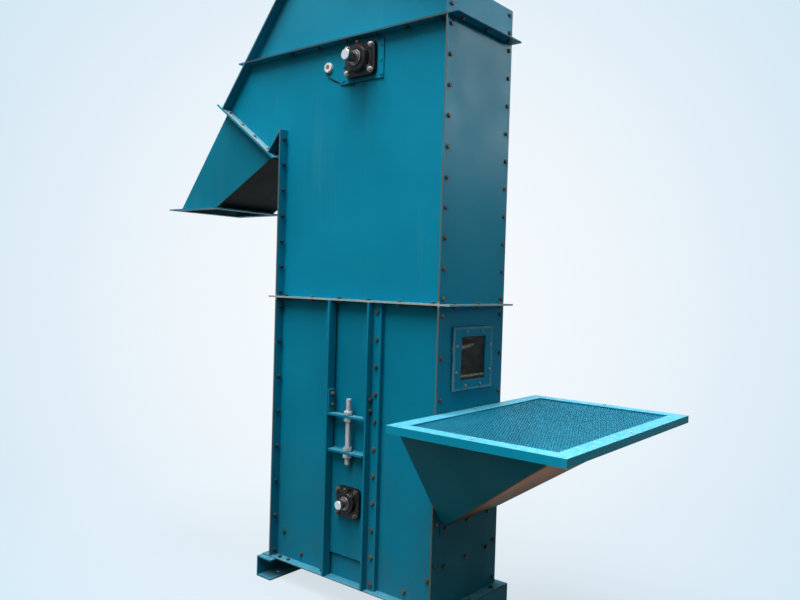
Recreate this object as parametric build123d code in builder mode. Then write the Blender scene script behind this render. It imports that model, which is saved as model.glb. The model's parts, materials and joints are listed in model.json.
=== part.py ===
from build123d import *
import os
from math import cos, degrees, pi, radians, sin, tan

# Bucket elevator in millimetres, +Z up, the origin on the floor under the middle of the casing.
# X runs from the discharge spout (-X) to the feed hopper (+X), and Y is the depth, front at -Y.
# The casing is bent sheet: wide walls as shallow pans, narrow end panels bolted over their edges.

# Casing
casing_w = 800.0
casing_d = 400.0
edge = 40.0
sheet = 3.0
foot_h = 80.0
foot_reach = 80.0
foot_over = 26.0
foot_t = 6.0
boot_h = 1033.0
trunk_h = 950.0
hood_side_h = 117.0
roof_angle = 18.0

# Discharge spout and chute
spout_angle = 50.0
spout_drop = 295.0
spout_floor_len = 110.0
outlet_tilt = 35.0
outlet_len = 362.0
floor_tab = 40.0
flange_t = 5.0
chute_drop = 286.0
chute_reach = 447.0
chute_mouth_len = 244.0
outlet_hole_y = 150.0
outlet_hole_r = 6.0

# Shafts, pulleys, belt and buckets
head_shaft_drop = 83.0
boot_shaft_h = 295.0
head_shaft_r = 20.0
boot_shaft_r = 17.5
head_stub = 46.0
boot_stub = 28.0
stub_step = 1.0
shoulder_gap = 2.0
pulley_r = 150.0
pulley_w = 250.0
rim_t = 8.0
disc_t = 8.0
disc_inset = 25.0
hub_t = 18.0
running_gap = 0.05
seat_gap = 0.3
belt_t = 6.0
belt_w = 230.0
bucket_count = 20
bucket_w = 200.0
bucket_out = 112.0
bucket_h = 125.0
bucket_back = 100.0
bucket_nose = 47.0
bucket_lip_drop = 44.0
bucket_t = 2.0
bucket_phase = 0.35
bucket_clear = 14.0
floor_side_h = 125.0
floor_flat_w = 470.0

# Bearings, the boot's square and the head's larger and wider
boot_housing_side = 112.0
boot_housing_t = 13.0
boot_boss_r = 42.0
boot_bearing_h = 34.0
boot_housing_bolt = 86.0
head_housing_w = 144.0
head_housing_h = 120.0
head_housing_t = 18.0
head_boss_r = 50.0
head_bearing_h = 46.0
head_bolt_x = 112.0
head_bolt_z = 88.0
housing_hole_r = 5.5
housing_corner = 16.0
boss_taper = 12.0
ring_out = 4.0
ring_t = 8.0
shaft_chamfer = 2.0
backing_w = 200.0
backing_h = 136.0
backing_shift = 6.0
backing_t = 6.0
cap_x = 172.0
cap_r = 19.0
cap_h = 12.0
cap_round = 4.0
cap_recess_r = 10.0
cap_recess = 5.0

# Take-up
guide_half = 92.0
leg_t = 8.0
leg_out = 28.0
strip_w = 36.0
strip_t = 8.0
spacer_t = 11.0
spacer_w = 30.0
slide_t = 10.0
slide_gap = 1.0
slide_drop = 205.0
takeup_travel = 60.0
slot_gap = 7.5
bar_t = 8.0
lower_bar_rise = 181.0
bar_spread = 132.0
tab_h = 94.0
tab_t = 6.0
bar_clear = 7.0
bar_inset = 2.0
rod_r = 10.0
rod_below = 40.0
rod_above = 67.0
rod_gap = 0.5
nut_r = 17.0
nut_h = 16.0

# Window in the feed side
window_drop = 184.0
window_open = 150.0
window_w = 240.0
window_h = 216.0
pane_t = 4.0

# Feed hopper
table_drop = 360.0
table_len = 600.0
table_half = 457.0
rim_w = 52.0
rim_leg = 25.0
rim_leg_t = 4.0
hopper_h = 363.0
hopper_low_half = 158.0
hopper_low_len = 34.0
hopper_skirt = 50.0
side_gap = 3.0
slope_gap = 14.0
throat_drop = 60.0
throat_half = 150.0
mesh_cell_x = 44.0
mesh_cell_y = 96.0
mesh_strand = 4.0
mesh_knuckle = 8.0
mesh_t = 3.0
mesh_lap = 4.0

# Feet
anchor_y = 150.0
anchor_hole_r = 9.0

os.makedirs("parts", exist_ok=True)


def finish(piece, label):
    """Names a finished piece and writes it."""
    piece.part.label = label
    export_step(piece.part, f"parts/{label}.step")


def front_plane(depth):
    """A sketch plane facing the front, its own X along X and its own Y up, at Y = depth."""
    return Plane(origin=(0, depth, 0), x_dir=(1, 0, 0), z_dir=(0, -1, 0))


def feed_plane(depth):
    """A sketch plane facing the feed side, its own X along Y and its own Y up, at X = depth."""
    return Plane(origin=(depth, 0, 0), x_dir=(0, 1, 0), z_dir=(1, 0, 0))


# Places shared by the pieces
half_w = casing_w / 2
half_d = casing_d / 2
pan_half = half_w - sheet
web_y = half_d - edge
inner_y = web_y - sheet
base_z = foot_h
mid_z = base_z + boot_h
head_z = mid_z + trunk_h
hood_side_z = head_z + hood_side_h
spout_z = head_z - spout_drop
head_shaft_z = head_z - head_shaft_drop
boot_shaft_z = base_z + boot_shaft_h
window_z = mid_z - window_drop
table_z = mid_z - table_drop
hopper_low_z = table_z - hopper_h
throat_top_z = table_z - throat_drop
belt_in = pulley_r + seat_gap
belt_out = belt_in + belt_t
run = (cos(radians(spout_angle)), sin(radians(spout_angle)))
tilt = (cos(radians(outlet_tilt)), sin(radians(outlet_tilt)))

# The spout and roof corners of the wide walls, on the pans' outside edge
floor_top = (-pan_half, spout_z)
floor_end = (floor_top[0] - spout_floor_len * run[0], floor_top[1] - spout_floor_len * run[1])
cover_end = (floor_end[0] - outlet_len * tilt[0], floor_end[1] + outlet_len * tilt[1])
cover_top = (cover_end[0] + (head_z - cover_end[1]) * run[0] / run[1], head_z)
roof_rise = tan(radians(roof_angle))
slope_rise = tan(radians(spout_angle))
peak_x = (
    hood_side_z + pan_half * roof_rise - cover_top[1] + cover_top[0] * slope_rise
) / (slope_rise + roof_rise)
peak = (peak_x, cover_top[1] + (peak_x - cover_top[0]) * slope_rise)

boot_outline = [(-pan_half, base_z), (pan_half, base_z), (pan_half, mid_z), (-pan_half, mid_z)]
trunk_outline = [
    (-pan_half, mid_z),
    (pan_half, mid_z),
    (pan_half, head_z),
    cover_top,
    cover_end,
    floor_end,
    floor_top,
]
hood_outline = [cover_top, (pan_half, head_z), (pan_half, hood_side_z), peak]


def pan(outline):
    """A wide wall for the front: a web with its edges bent outwards, like a shallow open box."""
    with BuildPart() as made:
        with BuildSketch(front_plane(-inner_y)):
            Polygon(*outline, align=None)
        extrude(amount=sheet + edge)
        offset(amount=-sheet, openings=made.faces().sort_by(Axis.Y)[0])
    return made.part


def finish_pair(front, front_label, back_label):
    """Writes a front piece and its mirror image on the back."""
    finish(front, front_label)
    with BuildPart() as back:
        add(front.part)
        mirror(about=Plane.XZ, mode=Mode.REPLACE)
    finish(back, back_label)


def bent_strip(*points, width=casing_d):
    """One bent sheet across the depth, on the left of a path of points in X and Z."""
    with BuildPart() as made:
        with BuildSketch(front_plane(width / 2)):
            with BuildLine():
                path = Polyline(*points)
                offset(path, amount=sheet, side=Side.LEFT, kind=Kind.INTERSECTION)
            make_face()
        extrude(amount=width)
    return made.part


def cut_plate(start, end, start_cut, end_cut, width):
    """A plate outside the line from start to end, each end cut along its own direction."""
    length = ((end[0] - start[0]) ** 2 + (end[1] - start[1]) ** 2) ** 0.5
    along = ((end[0] - start[0]) / length, (end[1] - start[1]) / length)
    corners = [start, end]
    for point, cut in ((end, end_cut), (start, start_cut)):
        reach = sheet / abs(along[0] * cut[1] - along[1] * cut[0])
        corners.append((point[0] + reach * cut[0], point[1] + reach * cut[1]))
    with BuildPart() as made:
        with BuildSketch(front_plane(width / 2)):
            Polygon(*corners, align=None)
        extrude(amount=width)
    return made.part


def feed_panel(low_z, high_z):
    """An end panel on the feed side, its ends bent outwards."""
    return bent_strip(
        (half_w + edge, high_z), (pan_half, high_z), (pan_half, low_z), (half_w + edge, low_z)
    )


# Feet: two channels that run front to back, open towards the middle
foot_out = half_w + edge
with BuildPart() as feet:
    with BuildSketch(front_plane(half_d + foot_over)):
        with BuildLine():
            Polyline(
                (foot_out, 0), (foot_out, foot_h), (foot_out - foot_reach, foot_h),
                (foot_out - foot_reach, foot_h - foot_t), (foot_out - foot_t, foot_h - foot_t),
                (foot_out - foot_t, foot_t), (foot_out - foot_reach, foot_t),
                (foot_out - foot_reach, 0),
                close=True,
            )
        make_face()
    extrude(amount=casing_d + 2 * foot_over)
    with Locations((foot_out - foot_reach / 2, 0, 0)):
        with GridLocations(0, 2 * anchor_y, 1, 2):
            Cylinder(
                anchor_hole_r, foot_t, align=(Align.CENTER, Align.CENTER, Align.MIN),
                mode=Mode.SUBTRACT,
            )
    mirror(about=Plane.YZ)
finish(feet, "feet")

# Boot: the lower casing, with an upright slot in each wide wall for the boot shaft
slot_half = boot_shaft_r + slot_gap
with BuildPart() as boot_front_wall:
    add(pan(boot_outline))
    with BuildSketch(front_plane(-web_y)):
        with Locations((0, boot_shaft_z + takeup_travel / 2)):
            SlotCenterToCenter(takeup_travel, 2 * slot_half, rotation=90)
    extrude(amount=-sheet, mode=Mode.SUBTRACT)
finish_pair(boot_front_wall, "boot_front_wall", "boot_back_wall")

with BuildPart() as boot_left_panel:
    add(feed_panel(base_z, mid_z))
    mirror(about=Plane.YZ, mode=Mode.REPLACE)
finish(boot_left_panel, "boot_left_panel")
with BuildPart() as boot_right_panel:
    add(feed_panel(base_z, mid_z))
    with BuildSketch(feed_plane(pan_half)):
        with Locations((0, window_z)):
            Rectangle(window_open, window_open)
        with Locations((0, (throat_top_z + hopper_low_z) / 2)):
            Rectangle(2 * throat_half, throat_top_z - hopper_low_z)
    extrude(amount=sheet, mode=Mode.SUBTRACT)
finish(boot_right_panel, "boot_right_panel")

# Boot floor: one bent plate, flat under the buckets and sloped up to both end panels
lip_z = bucket_h / 2 - bucket_lip_drop
bucket_sweep = ((belt_out + bucket_out) ** 2 + lip_z**2) ** 0.5
floor_z = boot_shaft_z - bucket_sweep - bucket_clear
floor_side_z = base_z + floor_side_h
with BuildPart() as boot_floor:
    with BuildSketch(front_plane(inner_y)):
        with BuildLine():
            Polyline(
                (-pan_half, floor_side_z), (-floor_flat_w / 2, floor_z),
                (floor_flat_w / 2, floor_z), (pan_half, floor_side_z),
                (pan_half, floor_side_z - sheet), (floor_flat_w / 2, floor_z - sheet),
                (-floor_flat_w / 2, floor_z - sheet), (-pan_half, floor_side_z - sheet),
                close=True,
            )
        make_face()
    extrude(amount=2 * inner_y)
finish(boot_floor, "boot_floor")

# Trunk and head: the wide walls carry the spout's sides in one sheet
with BuildPart() as trunk_front_wall:
    add(pan(trunk_outline))
    with BuildSketch(front_plane(-web_y)):
        with Locations((0, head_shaft_z)):
            Circle(head_shaft_r + slot_gap)
    extrude(amount=-sheet, mode=Mode.SUBTRACT)
finish_pair(trunk_front_wall, "trunk_front_wall", "trunk_back_wall")
with BuildPart() as trunk_right_panel:
    add(feed_panel(mid_z, head_z))
finish(trunk_right_panel, "trunk_right_panel")
with BuildPart() as trunk_left_panel:
    add(bent_strip(
        (-half_w - edge, mid_z), (-pan_half, mid_z), (-pan_half, spout_z - floor_tab)
    ))
finish(trunk_left_panel, "trunk_left_panel")

# Spout floor: a sheet bent off the top of the trunk's left panel, ending in a flange
floor_lip = (floor_end[0] + edge * tilt[0], floor_end[1] - edge * tilt[1])
with BuildPart() as spout_floor:
    add(bent_strip((-pan_half, spout_z - floor_tab), floor_top, floor_end, floor_lip))
finish(spout_floor, "spout_floor")

# Spout cover: the sloped panel under the head joint, both ends bent out as flanges
cover_lip = (cover_end[0] - edge * tilt[0], cover_end[1] + edge * tilt[1])
with BuildPart() as spout_cover:
    add(bent_strip(cover_lip, cover_end, cover_top, (cover_top[0] - edge, head_z)))
finish(spout_cover, "spout_cover")

# Hood: two wide walls and one bent cover over them
with BuildPart() as hood_front_wall:
    add(pan(hood_outline))
finish_pair(hood_front_wall, "hood_front_wall", "hood_back_wall")
with BuildPart() as hood_cover:
    add(bent_strip(
        (cover_top[0] - edge, head_z), cover_top, peak, (pan_half, hood_side_z),
        (pan_half, head_z), (half_w + edge, head_z),
    ))
finish(hood_cover, "hood_cover")

# Chute: two sides, a top and a bottom plate between two flanges, bolted under the spout
outlet_out = (-tilt[1], -tilt[0])


def below_outlet(point, depth):
    """A point moved out of the spout, square to the outlet."""
    return (point[0] + depth * outlet_out[0], point[1] + depth * outlet_out[1])


chute_top_left = below_outlet(cover_end, flange_t)
chute_top_right = below_outlet(floor_end, flange_t)
chute_end_z = spout_z - chute_drop
chute_low_right = (-half_w - chute_reach, chute_end_z)
chute_low_left = (chute_low_right[0] - chute_mouth_len, chute_end_z)
outlet_mid = (
    (cover_end[0] + floor_end[0]) / 2 + flange_t * outlet_out[0],
    0,
    (cover_end[1] + floor_end[1]) / 2 + flange_t * outlet_out[1],
)
outlet_plane = Plane(
    origin=outlet_mid, x_dir=(tilt[0], 0, -tilt[1]), z_dir=(-outlet_out[0], 0, -outlet_out[1])
)
with BuildPart() as chute_inlet_flange:
    with BuildSketch(outlet_plane):
        Rectangle(outlet_len + 2 * edge, casing_d)
        Rectangle(outlet_len, 2 * inner_y, mode=Mode.SUBTRACT)
    extrude(amount=flange_t)
finish(chute_inlet_flange, "chute_inlet_flange")

with BuildPart() as chute_sides:
    with BuildSketch(front_plane(-inner_y)):
        Polygon(chute_top_left, chute_top_right, chute_low_right, chute_low_left, align=None)
    extrude(amount=sheet)
    mirror(about=Plane.XZ)
finish(chute_sides, "chute_sides")
with BuildPart() as chute_top:
    add(cut_plate(chute_low_left, chute_top_left, (-1, 0), (-tilt[0], tilt[1]), 2 * web_y))
finish(chute_top, "chute_top")
with BuildPart() as chute_bottom:
    add(cut_plate(chute_top_right, chute_low_right, (tilt[0], -tilt[1]), (1, 0), 2 * web_y))
finish(chute_bottom, "chute_bottom")

chute_mid_x = (chute_low_left[0] + chute_low_right[0]) / 2
with BuildPart() as chute_outlet_flange:
    with BuildSketch(Plane.XY.offset(chute_end_z)):
        with Locations((chute_mid_x, 0)):
            Rectangle(chute_mouth_len + 2 * edge, casing_d)
            Rectangle(chute_mouth_len, 2 * inner_y, mode=Mode.SUBTRACT)
            with GridLocations(chute_mouth_len + edge, 2 * outlet_hole_y, 2, 2):
                Circle(outlet_hole_r, mode=Mode.SUBTRACT)
    extrude(amount=-flange_t)
finish(chute_outlet_flange, "chute_outlet_flange")

# Window: a clear pane under a bolted frame on the feed side
def window_sheet(depth, thick, opening):
    """One layer of the window, with or without its opening."""
    with BuildPart() as made:
        with BuildSketch(feed_plane(depth)):
            with Locations((0, window_z)):
                Rectangle(window_w, window_h)
                if opening:
                    Rectangle(window_open, window_open, mode=Mode.SUBTRACT)
        extrude(amount=thick)
    return made.part


with BuildPart() as window_pane:
    add(window_sheet(half_w, pane_t, opening=False))
finish(window_pane, "window_pane")
with BuildPart() as window_frame:
    add(window_sheet(half_w + pane_t, pane_t, opening=True))
finish(window_frame, "window_frame")

# Feed hopper: a back plate on the casing, two leaning sides, a sloped bottom and the table rim
rim_low_z = table_z - rim_leg
hopper_top_z = table_z - rim_leg_t
grid_half = table_half - rim_w + mesh_lap
hopper_top_half = grid_half + side_gap
table_end = half_w + table_len
grid_end = table_end - rim_w + mesh_lap
back_t = sheet
hopper_x = half_w + back_t
lean = (hopper_top_half - hopper_low_half) / (hopper_top_z - hopper_low_z)
with BuildPart() as hopper_back:
    with BuildSketch(feed_plane(half_w)):
        Polygon(
            (-hopper_low_half, hopper_low_z - hopper_skirt),
            (hopper_low_half, hopper_low_z - hopper_skirt),
            (hopper_low_half, hopper_low_z), (hopper_top_half, hopper_top_z),
            (-hopper_top_half, hopper_top_z), (-hopper_low_half, hopper_low_z),
            align=None,
        )
        with Locations((0, (throat_top_z + hopper_low_z) / 2)):
            Rectangle(2 * throat_half, throat_top_z - hopper_low_z, mode=Mode.SUBTRACT)
    extrude(amount=back_t)
finish(hopper_back, "hopper_back")

# The sloped bottom runs from the short flat at the throat up to the rim's underside
slope_start = hopper_x + hopper_low_len
slope_end = grid_end + slope_gap
slope_rate = (slope_end - slope_start) / (hopper_top_z - hopper_low_z)
slope_over = (slope_end + 2 * sheet * slope_rate, hopper_top_z + 2 * sheet)
hopper_side_outline = [
    (hopper_x, hopper_low_z), (slope_start, hopper_low_z), (slope_end, hopper_top_z),
    (hopper_x, hopper_top_z),
]


def leaning_plane(side, depth):
    """The inside face of a hopper side, or one parallel to it further out by depth."""
    tall = (1 + lean * lean) ** 0.5
    return Plane(
        origin=(hopper_x, side * (hopper_low_half + depth / tall), hopper_low_z - lean * depth / tall),
        x_dir=(1, 0, 0),
        z_dir=(0, side, -lean),
    )


with BuildPart() as hopper_sides:
    with BuildSketch(Plane.XZ):
        Polygon(*hopper_side_outline, align=None)
    extrude(amount=-table_half)
    split(bisect_by=leaning_plane(1, 0), keep=Keep.TOP)
    split(bisect_by=leaning_plane(1, sheet), keep=Keep.BOTTOM)
    mirror(about=Plane.XZ)
finish(hopper_sides, "hopper_sides")

with BuildPart() as hopper_bottom:
    add(bent_strip(
        slope_over, (slope_start, hopper_low_z), (hopper_x, hopper_low_z), width=2 * table_half,
    ))
    split(bisect_by=Plane.XY.offset(hopper_top_z), keep=Keep.BOTTOM)
    split(bisect_by=leaning_plane(1, sheet), keep=Keep.BOTTOM)
    split(bisect_by=leaning_plane(-1, sheet), keep=Keep.BOTTOM)
finish(hopper_bottom, "hopper_bottom")

# Table rim: angle bars round three sides and a flat bar along the casing
rim_low = (Align.MIN, Align.CENTER, Align.MIN)
with BuildPart() as hopper_rim:
    with Locations((hopper_x, 0, rim_low_z)):
        Box(table_end - hopper_x, 2 * table_half, rim_leg, align=rim_low)
        Box(
            table_end - hopper_x - rim_leg_t, 2 * (table_half - rim_leg_t), rim_leg - rim_leg_t,
            align=rim_low, mode=Mode.SUBTRACT,
        )
    with Locations((hopper_x + rim_w, 0, hopper_top_z)):
        Box(
            table_end - hopper_x - 2 * rim_w, 2 * (table_half - rim_w), rim_leg_t,
            align=rim_low, mode=Mode.SUBTRACT,
        )
finish(hopper_rim, "hopper_rim")

# Table grid: expanded sheet under the rim, a lattice of diamonds in staggered rows
mesh_len = 2 * grid_end - hopper_x - table_end
mesh_wide = 2 * grid_half
mesh_rows = int((mesh_len - mesh_strand) / mesh_cell_x)
mesh_cols = int((mesh_wide - mesh_strand) / mesh_cell_y)
diamond_x = mesh_cell_x / 2 - mesh_strand
diamond_y = mesh_cell_y / 2 - mesh_knuckle
diamond = [(diamond_x, 0), (0, diamond_y), (-diamond_x, 0), (0, -diamond_y)]
with BuildPart() as table_grid:
    with BuildSketch(Plane.XY.offset(hopper_top_z)):
        with Locations(((hopper_x + table_end) / 2, 0)):
            Rectangle(mesh_len, mesh_wide)
            for rows, cols in ((mesh_rows, mesh_cols), (mesh_rows - 1, mesh_cols - 1)):
                with GridLocations(mesh_cell_x, mesh_cell_y, rows, cols):
                    Polygon(*diamond, mode=Mode.SUBTRACT)
    extrude(amount=-mesh_t)
finish(table_grid, "table_grid")

# Take-up guides: an angle on a spacer strip each side of the slot, on both wide walls
strip_y = web_y + spacer_t + strip_t
leg_y = strip_y + leg_out
strip_x = guide_half + leg_t + strip_w
spacer_x = strip_x - spacer_w
with BuildPart() as front_guides:
    with BuildSketch(Plane.XY.offset(base_z + sheet)):
        Polygon(
            (strip_x, -web_y), (strip_x, -strip_y), (guide_half + leg_t, -strip_y),
            (guide_half + leg_t, -leg_y), (guide_half, -leg_y), (guide_half, -web_y - spacer_t),
            (spacer_x, -web_y - spacer_t), (spacer_x, -web_y),
            align=None,
        )
    extrude(amount=mid_z - base_z - 2 * sheet)
    mirror(about=Plane.YZ)
finish_pair(front_guides, "front_guides", "back_guides")

# Take-up brackets: a bar between the guide legs with its ends turned up against them
bar_in = web_y + spacer_t + bar_inset
bar_out = leg_y - bar_inset
rod_y = (bar_in + bar_out) / 2
lower_bar_z = boot_shaft_z + lower_bar_rise
upper_bar_z = lower_bar_z + bar_spread
rod_low_z = lower_bar_z - rod_below
rod_high_z = upper_bar_z + rod_above
rod_low = (Align.CENTER, Align.CENTER, Align.MIN)
with BuildPart() as takeup_brackets:
    with BuildSketch(front_plane(-bar_in)):
        Polygon(
            (-guide_half, upper_bar_z), (guide_half, upper_bar_z),
            (guide_half, upper_bar_z + tab_h), (guide_half - tab_t, upper_bar_z + tab_h),
            (guide_half - tab_t, upper_bar_z + bar_t), (tab_t - guide_half, upper_bar_z + bar_t),
            (tab_t - guide_half, upper_bar_z + tab_h), (-guide_half, upper_bar_z + tab_h),
            align=None,
        )
    extrude(amount=bar_out - bar_in)
    with Locations((0, -rod_y, upper_bar_z)):
        Cylinder(rod_r + rod_gap, bar_t, align=rod_low, mode=Mode.SUBTRACT)
    mirror(about=Plane.XZ)
finish(takeup_brackets, "takeup_brackets")

# Take-up screws: threaded rods locked in the upper bars by a nut on each side
with BuildPart() as takeup_screws:
    with Locations((0, -rod_y, rod_low_z)):
        Cylinder(rod_r, rod_high_z - rod_low_z, align=rod_low)
    for nut_z in (upper_bar_z - nut_h, upper_bar_z + bar_t):
        with BuildSketch(Plane.XY.offset(nut_z)):
            with Locations((0, -rod_y)):
                RegularPolygon(nut_r, 6)
        extrude(amount=nut_h)
    mirror(about=Plane.XZ)
finish(takeup_screws, "takeup_screws")

# Take-up slides: a plate behind the guides with a bar and two loose-fitting nuts on the screw
slide_in = web_y + seat_gap
slide_out = slide_in + slide_t
slide_half = spacer_x - slide_gap
slide_low_z = boot_shaft_z - slide_drop
slide_high_z = lower_bar_z + bar_t
slide_nut_z = lower_bar_z - nut_h
with BuildPart() as front_slide:
    with BuildSketch(front_plane(-slide_in)):
        with Locations((0, (slide_low_z + slide_high_z) / 2)):
            Rectangle(2 * slide_half, slide_high_z - slide_low_z)
        with Locations((0, boot_shaft_z)):
            Circle(boot_shaft_r + slot_gap, mode=Mode.SUBTRACT)
    extrude(amount=slide_t)
    with BuildSketch(front_plane(-slide_out)):
        with Locations((0, lower_bar_z + bar_t / 2)):
            Rectangle(2 * (guide_half - bar_clear), bar_t)
    extrude(amount=bar_out - slide_out)
    for nut_z in (slide_nut_z, slide_high_z):
        with BuildSketch(Plane.XY.offset(nut_z)):
            with Locations((0, -rod_y)):
                RegularPolygon(nut_r, 6)
        extrude(amount=nut_h)
    with Locations((0, -rod_y, slide_nut_z)):
        Cylinder(rod_r + rod_gap, 2 * nut_h + bar_t, align=rod_low, mode=Mode.SUBTRACT)
finish_pair(front_slide, "front_slide", "back_slide")


def flange_bearing(seat_y, centre_z, shaft_r, housing, bolts, boss_r, bearing_h):
    """A four-bolt flange bearing for the front, its back face at Y = -seat_y.

    The housing is its width, height and thickness, and bolts their distances across and up.
    """
    housing_w, housing_h, housing_t = housing
    with BuildPart() as made:
        with BuildSketch(front_plane(-seat_y)):
            with Locations((0, centre_z)):
                RectangleRounded(housing_w, housing_h, housing_corner)
                with GridLocations(*bolts, 2, 2):
                    Circle(housing_hole_r, mode=Mode.SUBTRACT)
        extrude(amount=housing_t)
        with BuildSketch(front_plane(-seat_y - housing_t)):
            with Locations((0, centre_z)):
                Circle(boss_r)
        extrude(amount=bearing_h - housing_t - ring_out, taper=boss_taper)
        with BuildSketch(front_plane(-seat_y - bearing_h)):
            with Locations((0, centre_z)):
                Circle(shaft_r + ring_t)
        extrude(amount=-2 * ring_out)
        with BuildSketch(front_plane(-seat_y)):
            with Locations((0, centre_z)):
                Circle(shaft_r + running_gap)
        extrude(amount=bearing_h, mode=Mode.SUBTRACT)
    return made


def stepped_shaft(shaft_r, centre_z, bearing_end, shaft_stub):
    """A shaft across the depth that steps down to a chamfered stub outside each bearing."""
    shoulder = bearing_end + shoulder_gap
    with BuildPart() as made:
        with Locations((0, 0, centre_z)):
            Cylinder(shaft_r - stub_step, 2 * (shoulder + shaft_stub), rotation=(90, 0, 0))
            chamfer(made.edges().filter_by(GeomType.CIRCLE), shaft_chamfer)
            Cylinder(shaft_r, 2 * shoulder, rotation=(90, 0, 0))
    return made


def drum(centre_z, shaft_r):
    """A pulley: a rim on two discs and a hub, turned about the shaft's axis."""
    hub_r = shaft_r + hub_t
    bore_r = shaft_r + running_gap
    rim_in = pulley_r - rim_t
    with BuildPart() as made:
        with BuildSketch(Plane.XY.offset(centre_z)):
            with Locations(((rim_in + pulley_r) / 2, 0)):
                Rectangle(rim_t, pulley_w)
            with Locations(((bore_r + hub_r) / 2, 0)):
                Rectangle(hub_r - bore_r, pulley_w)
            with Locations(((hub_r + rim_in) / 2, 0)):
                with GridLocations(0, pulley_w - 2 * disc_inset, 1, 2):
                    Rectangle(rim_in - hub_r, disc_t)
        revolve(axis=Axis((0, 0, centre_z), (0, 1, 0)))
    return made


# Head: backing plates, bearings, shaft and pulley
with BuildPart() as head_bearing_plates:
    with BuildSketch(front_plane(-web_y)):
        with Locations((0, head_shaft_z - backing_shift)):
            Rectangle(backing_w, backing_h)
        with Locations((0, head_shaft_z)):
            Circle(head_shaft_r + slot_gap, mode=Mode.SUBTRACT)
    extrude(amount=backing_t)
    mirror(about=Plane.XZ)
finish(head_bearing_plates, "head_bearing_plates")
head_seat_y = web_y + backing_t
head_housing = (head_housing_w, head_housing_h, head_housing_t)
finish_pair(
    flange_bearing(
        head_seat_y, head_shaft_z, head_shaft_r, head_housing, (head_bolt_x, head_bolt_z),
        head_boss_r, head_bearing_h,
    ),
    "head_bearing_front",
    "head_bearing_back",
)
finish(
    stepped_shaft(head_shaft_r, head_shaft_z, head_seat_y + head_bearing_h, head_stub),
    "head_shaft",
)
finish(drum(head_shaft_z, head_shaft_r), "head_pulley")

# Boot: bearings on the take-up slides, shaft and pulley
boot_housing = (boot_housing_side, boot_housing_side, boot_housing_t)
finish_pair(
    flange_bearing(
        slide_out, boot_shaft_z, boot_shaft_r, boot_housing, (boot_housing_bolt, boot_housing_bolt),
        boot_boss_r, boot_bearing_h,
    ),
    "boot_bearing_front",
    "boot_bearing_back",
)
finish(
    stepped_shaft(boot_shaft_r, boot_shaft_z, slide_out + boot_bearing_h, boot_stub),
    "boot_shaft",
)
finish(drum(boot_shaft_z, boot_shaft_r), "boot_pulley")

# Belt: one loop round both pulleys
centres = head_shaft_z - boot_shaft_z
with BuildPart() as belt:
    with BuildSketch(front_plane(belt_w / 2)):
        with Locations((0, (head_shaft_z + boot_shaft_z) / 2)):
            SlotCenterToCenter(centres, 2 * belt_out, rotation=90)
            SlotCenterToCenter(centres, 2 * belt_in, rotation=90, mode=Mode.SUBTRACT)
    extrude(amount=belt_w)
finish(belt, "belt")


def on_belt(along):
    """Where a bucket sits, its back on the belt's outside, for a distance along the loop."""
    arc = pi * belt_out
    turn_end = centres + arc
    if along < centres:
        return Location((belt_out, 0, boot_shaft_z + along), (0, 0, 0))
    if along < turn_end:
        turn = (along - centres) / belt_out
        return Location(
            (belt_out * cos(turn), 0, head_shaft_z + belt_out * sin(turn)), (0, -degrees(turn), 0)
        )
    if along < turn_end + centres:
        return Location((-belt_out, 0, head_shaft_z - (along - turn_end)), (0, 180, 0))
    turn = pi + (along - turn_end - centres) / belt_out
    return Location(
        (belt_out * cos(turn), 0, boot_shaft_z + belt_out * sin(turn)), (0, -degrees(turn), 0)
    )


# Buckets: a pressed cup with a flat back, a round bottom and a low lip, repeated along the belt
with BuildPart() as bucket:
    with BuildSketch(front_plane(bucket_w / 2)):
        with BuildLine():
            Line((0, bucket_h / 2), (0, bucket_h / 2 - bucket_back))
            TangentArc((0, bucket_h / 2 - bucket_back), (bucket_nose, -bucket_h / 2), tangent=(0, -1))
            Polyline((bucket_nose, -bucket_h / 2), (bucket_out, lip_z), (0, bucket_h / 2))
        make_face()
    extrude(amount=bucket_w)
    offset(amount=-bucket_t, openings=bucket.faces().sort_by(Axis.Z)[-1])
loop_length = 2 * centres + 2 * pi * belt_out
bucket_pitch = loop_length / bucket_count
with BuildPart() as buckets:
    with Locations(*[on_belt((i + bucket_phase) * bucket_pitch) for i in range(bucket_count)]):
        add(bucket.part)
finish(buckets, "buckets")

# Cap: a round plug with a sunken middle, on the front wall beside the head bearing
with BuildPart() as wall_cap:
    with BuildSketch(front_plane(-web_y)):
        with Locations((-cap_x, head_shaft_z)):
            Circle(cap_r)
    extrude(amount=cap_h)
    fillet(wall_cap.faces().sort_by(Axis.Y)[0].edges(), cap_round)
    with BuildSketch(front_plane(-web_y - cap_h)):
        with Locations((-cap_x, head_shaft_z)):
            Circle(cap_recess_r)
    extrude(amount=-cap_recess, mode=Mode.SUBTRACT)
finish(wall_cap, "wall_cap")
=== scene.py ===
import json
from math import atan2, cos, pi, radians, sin, tan

import bpy
import numpy as np
from mathutils import Matrix, Vector


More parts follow.
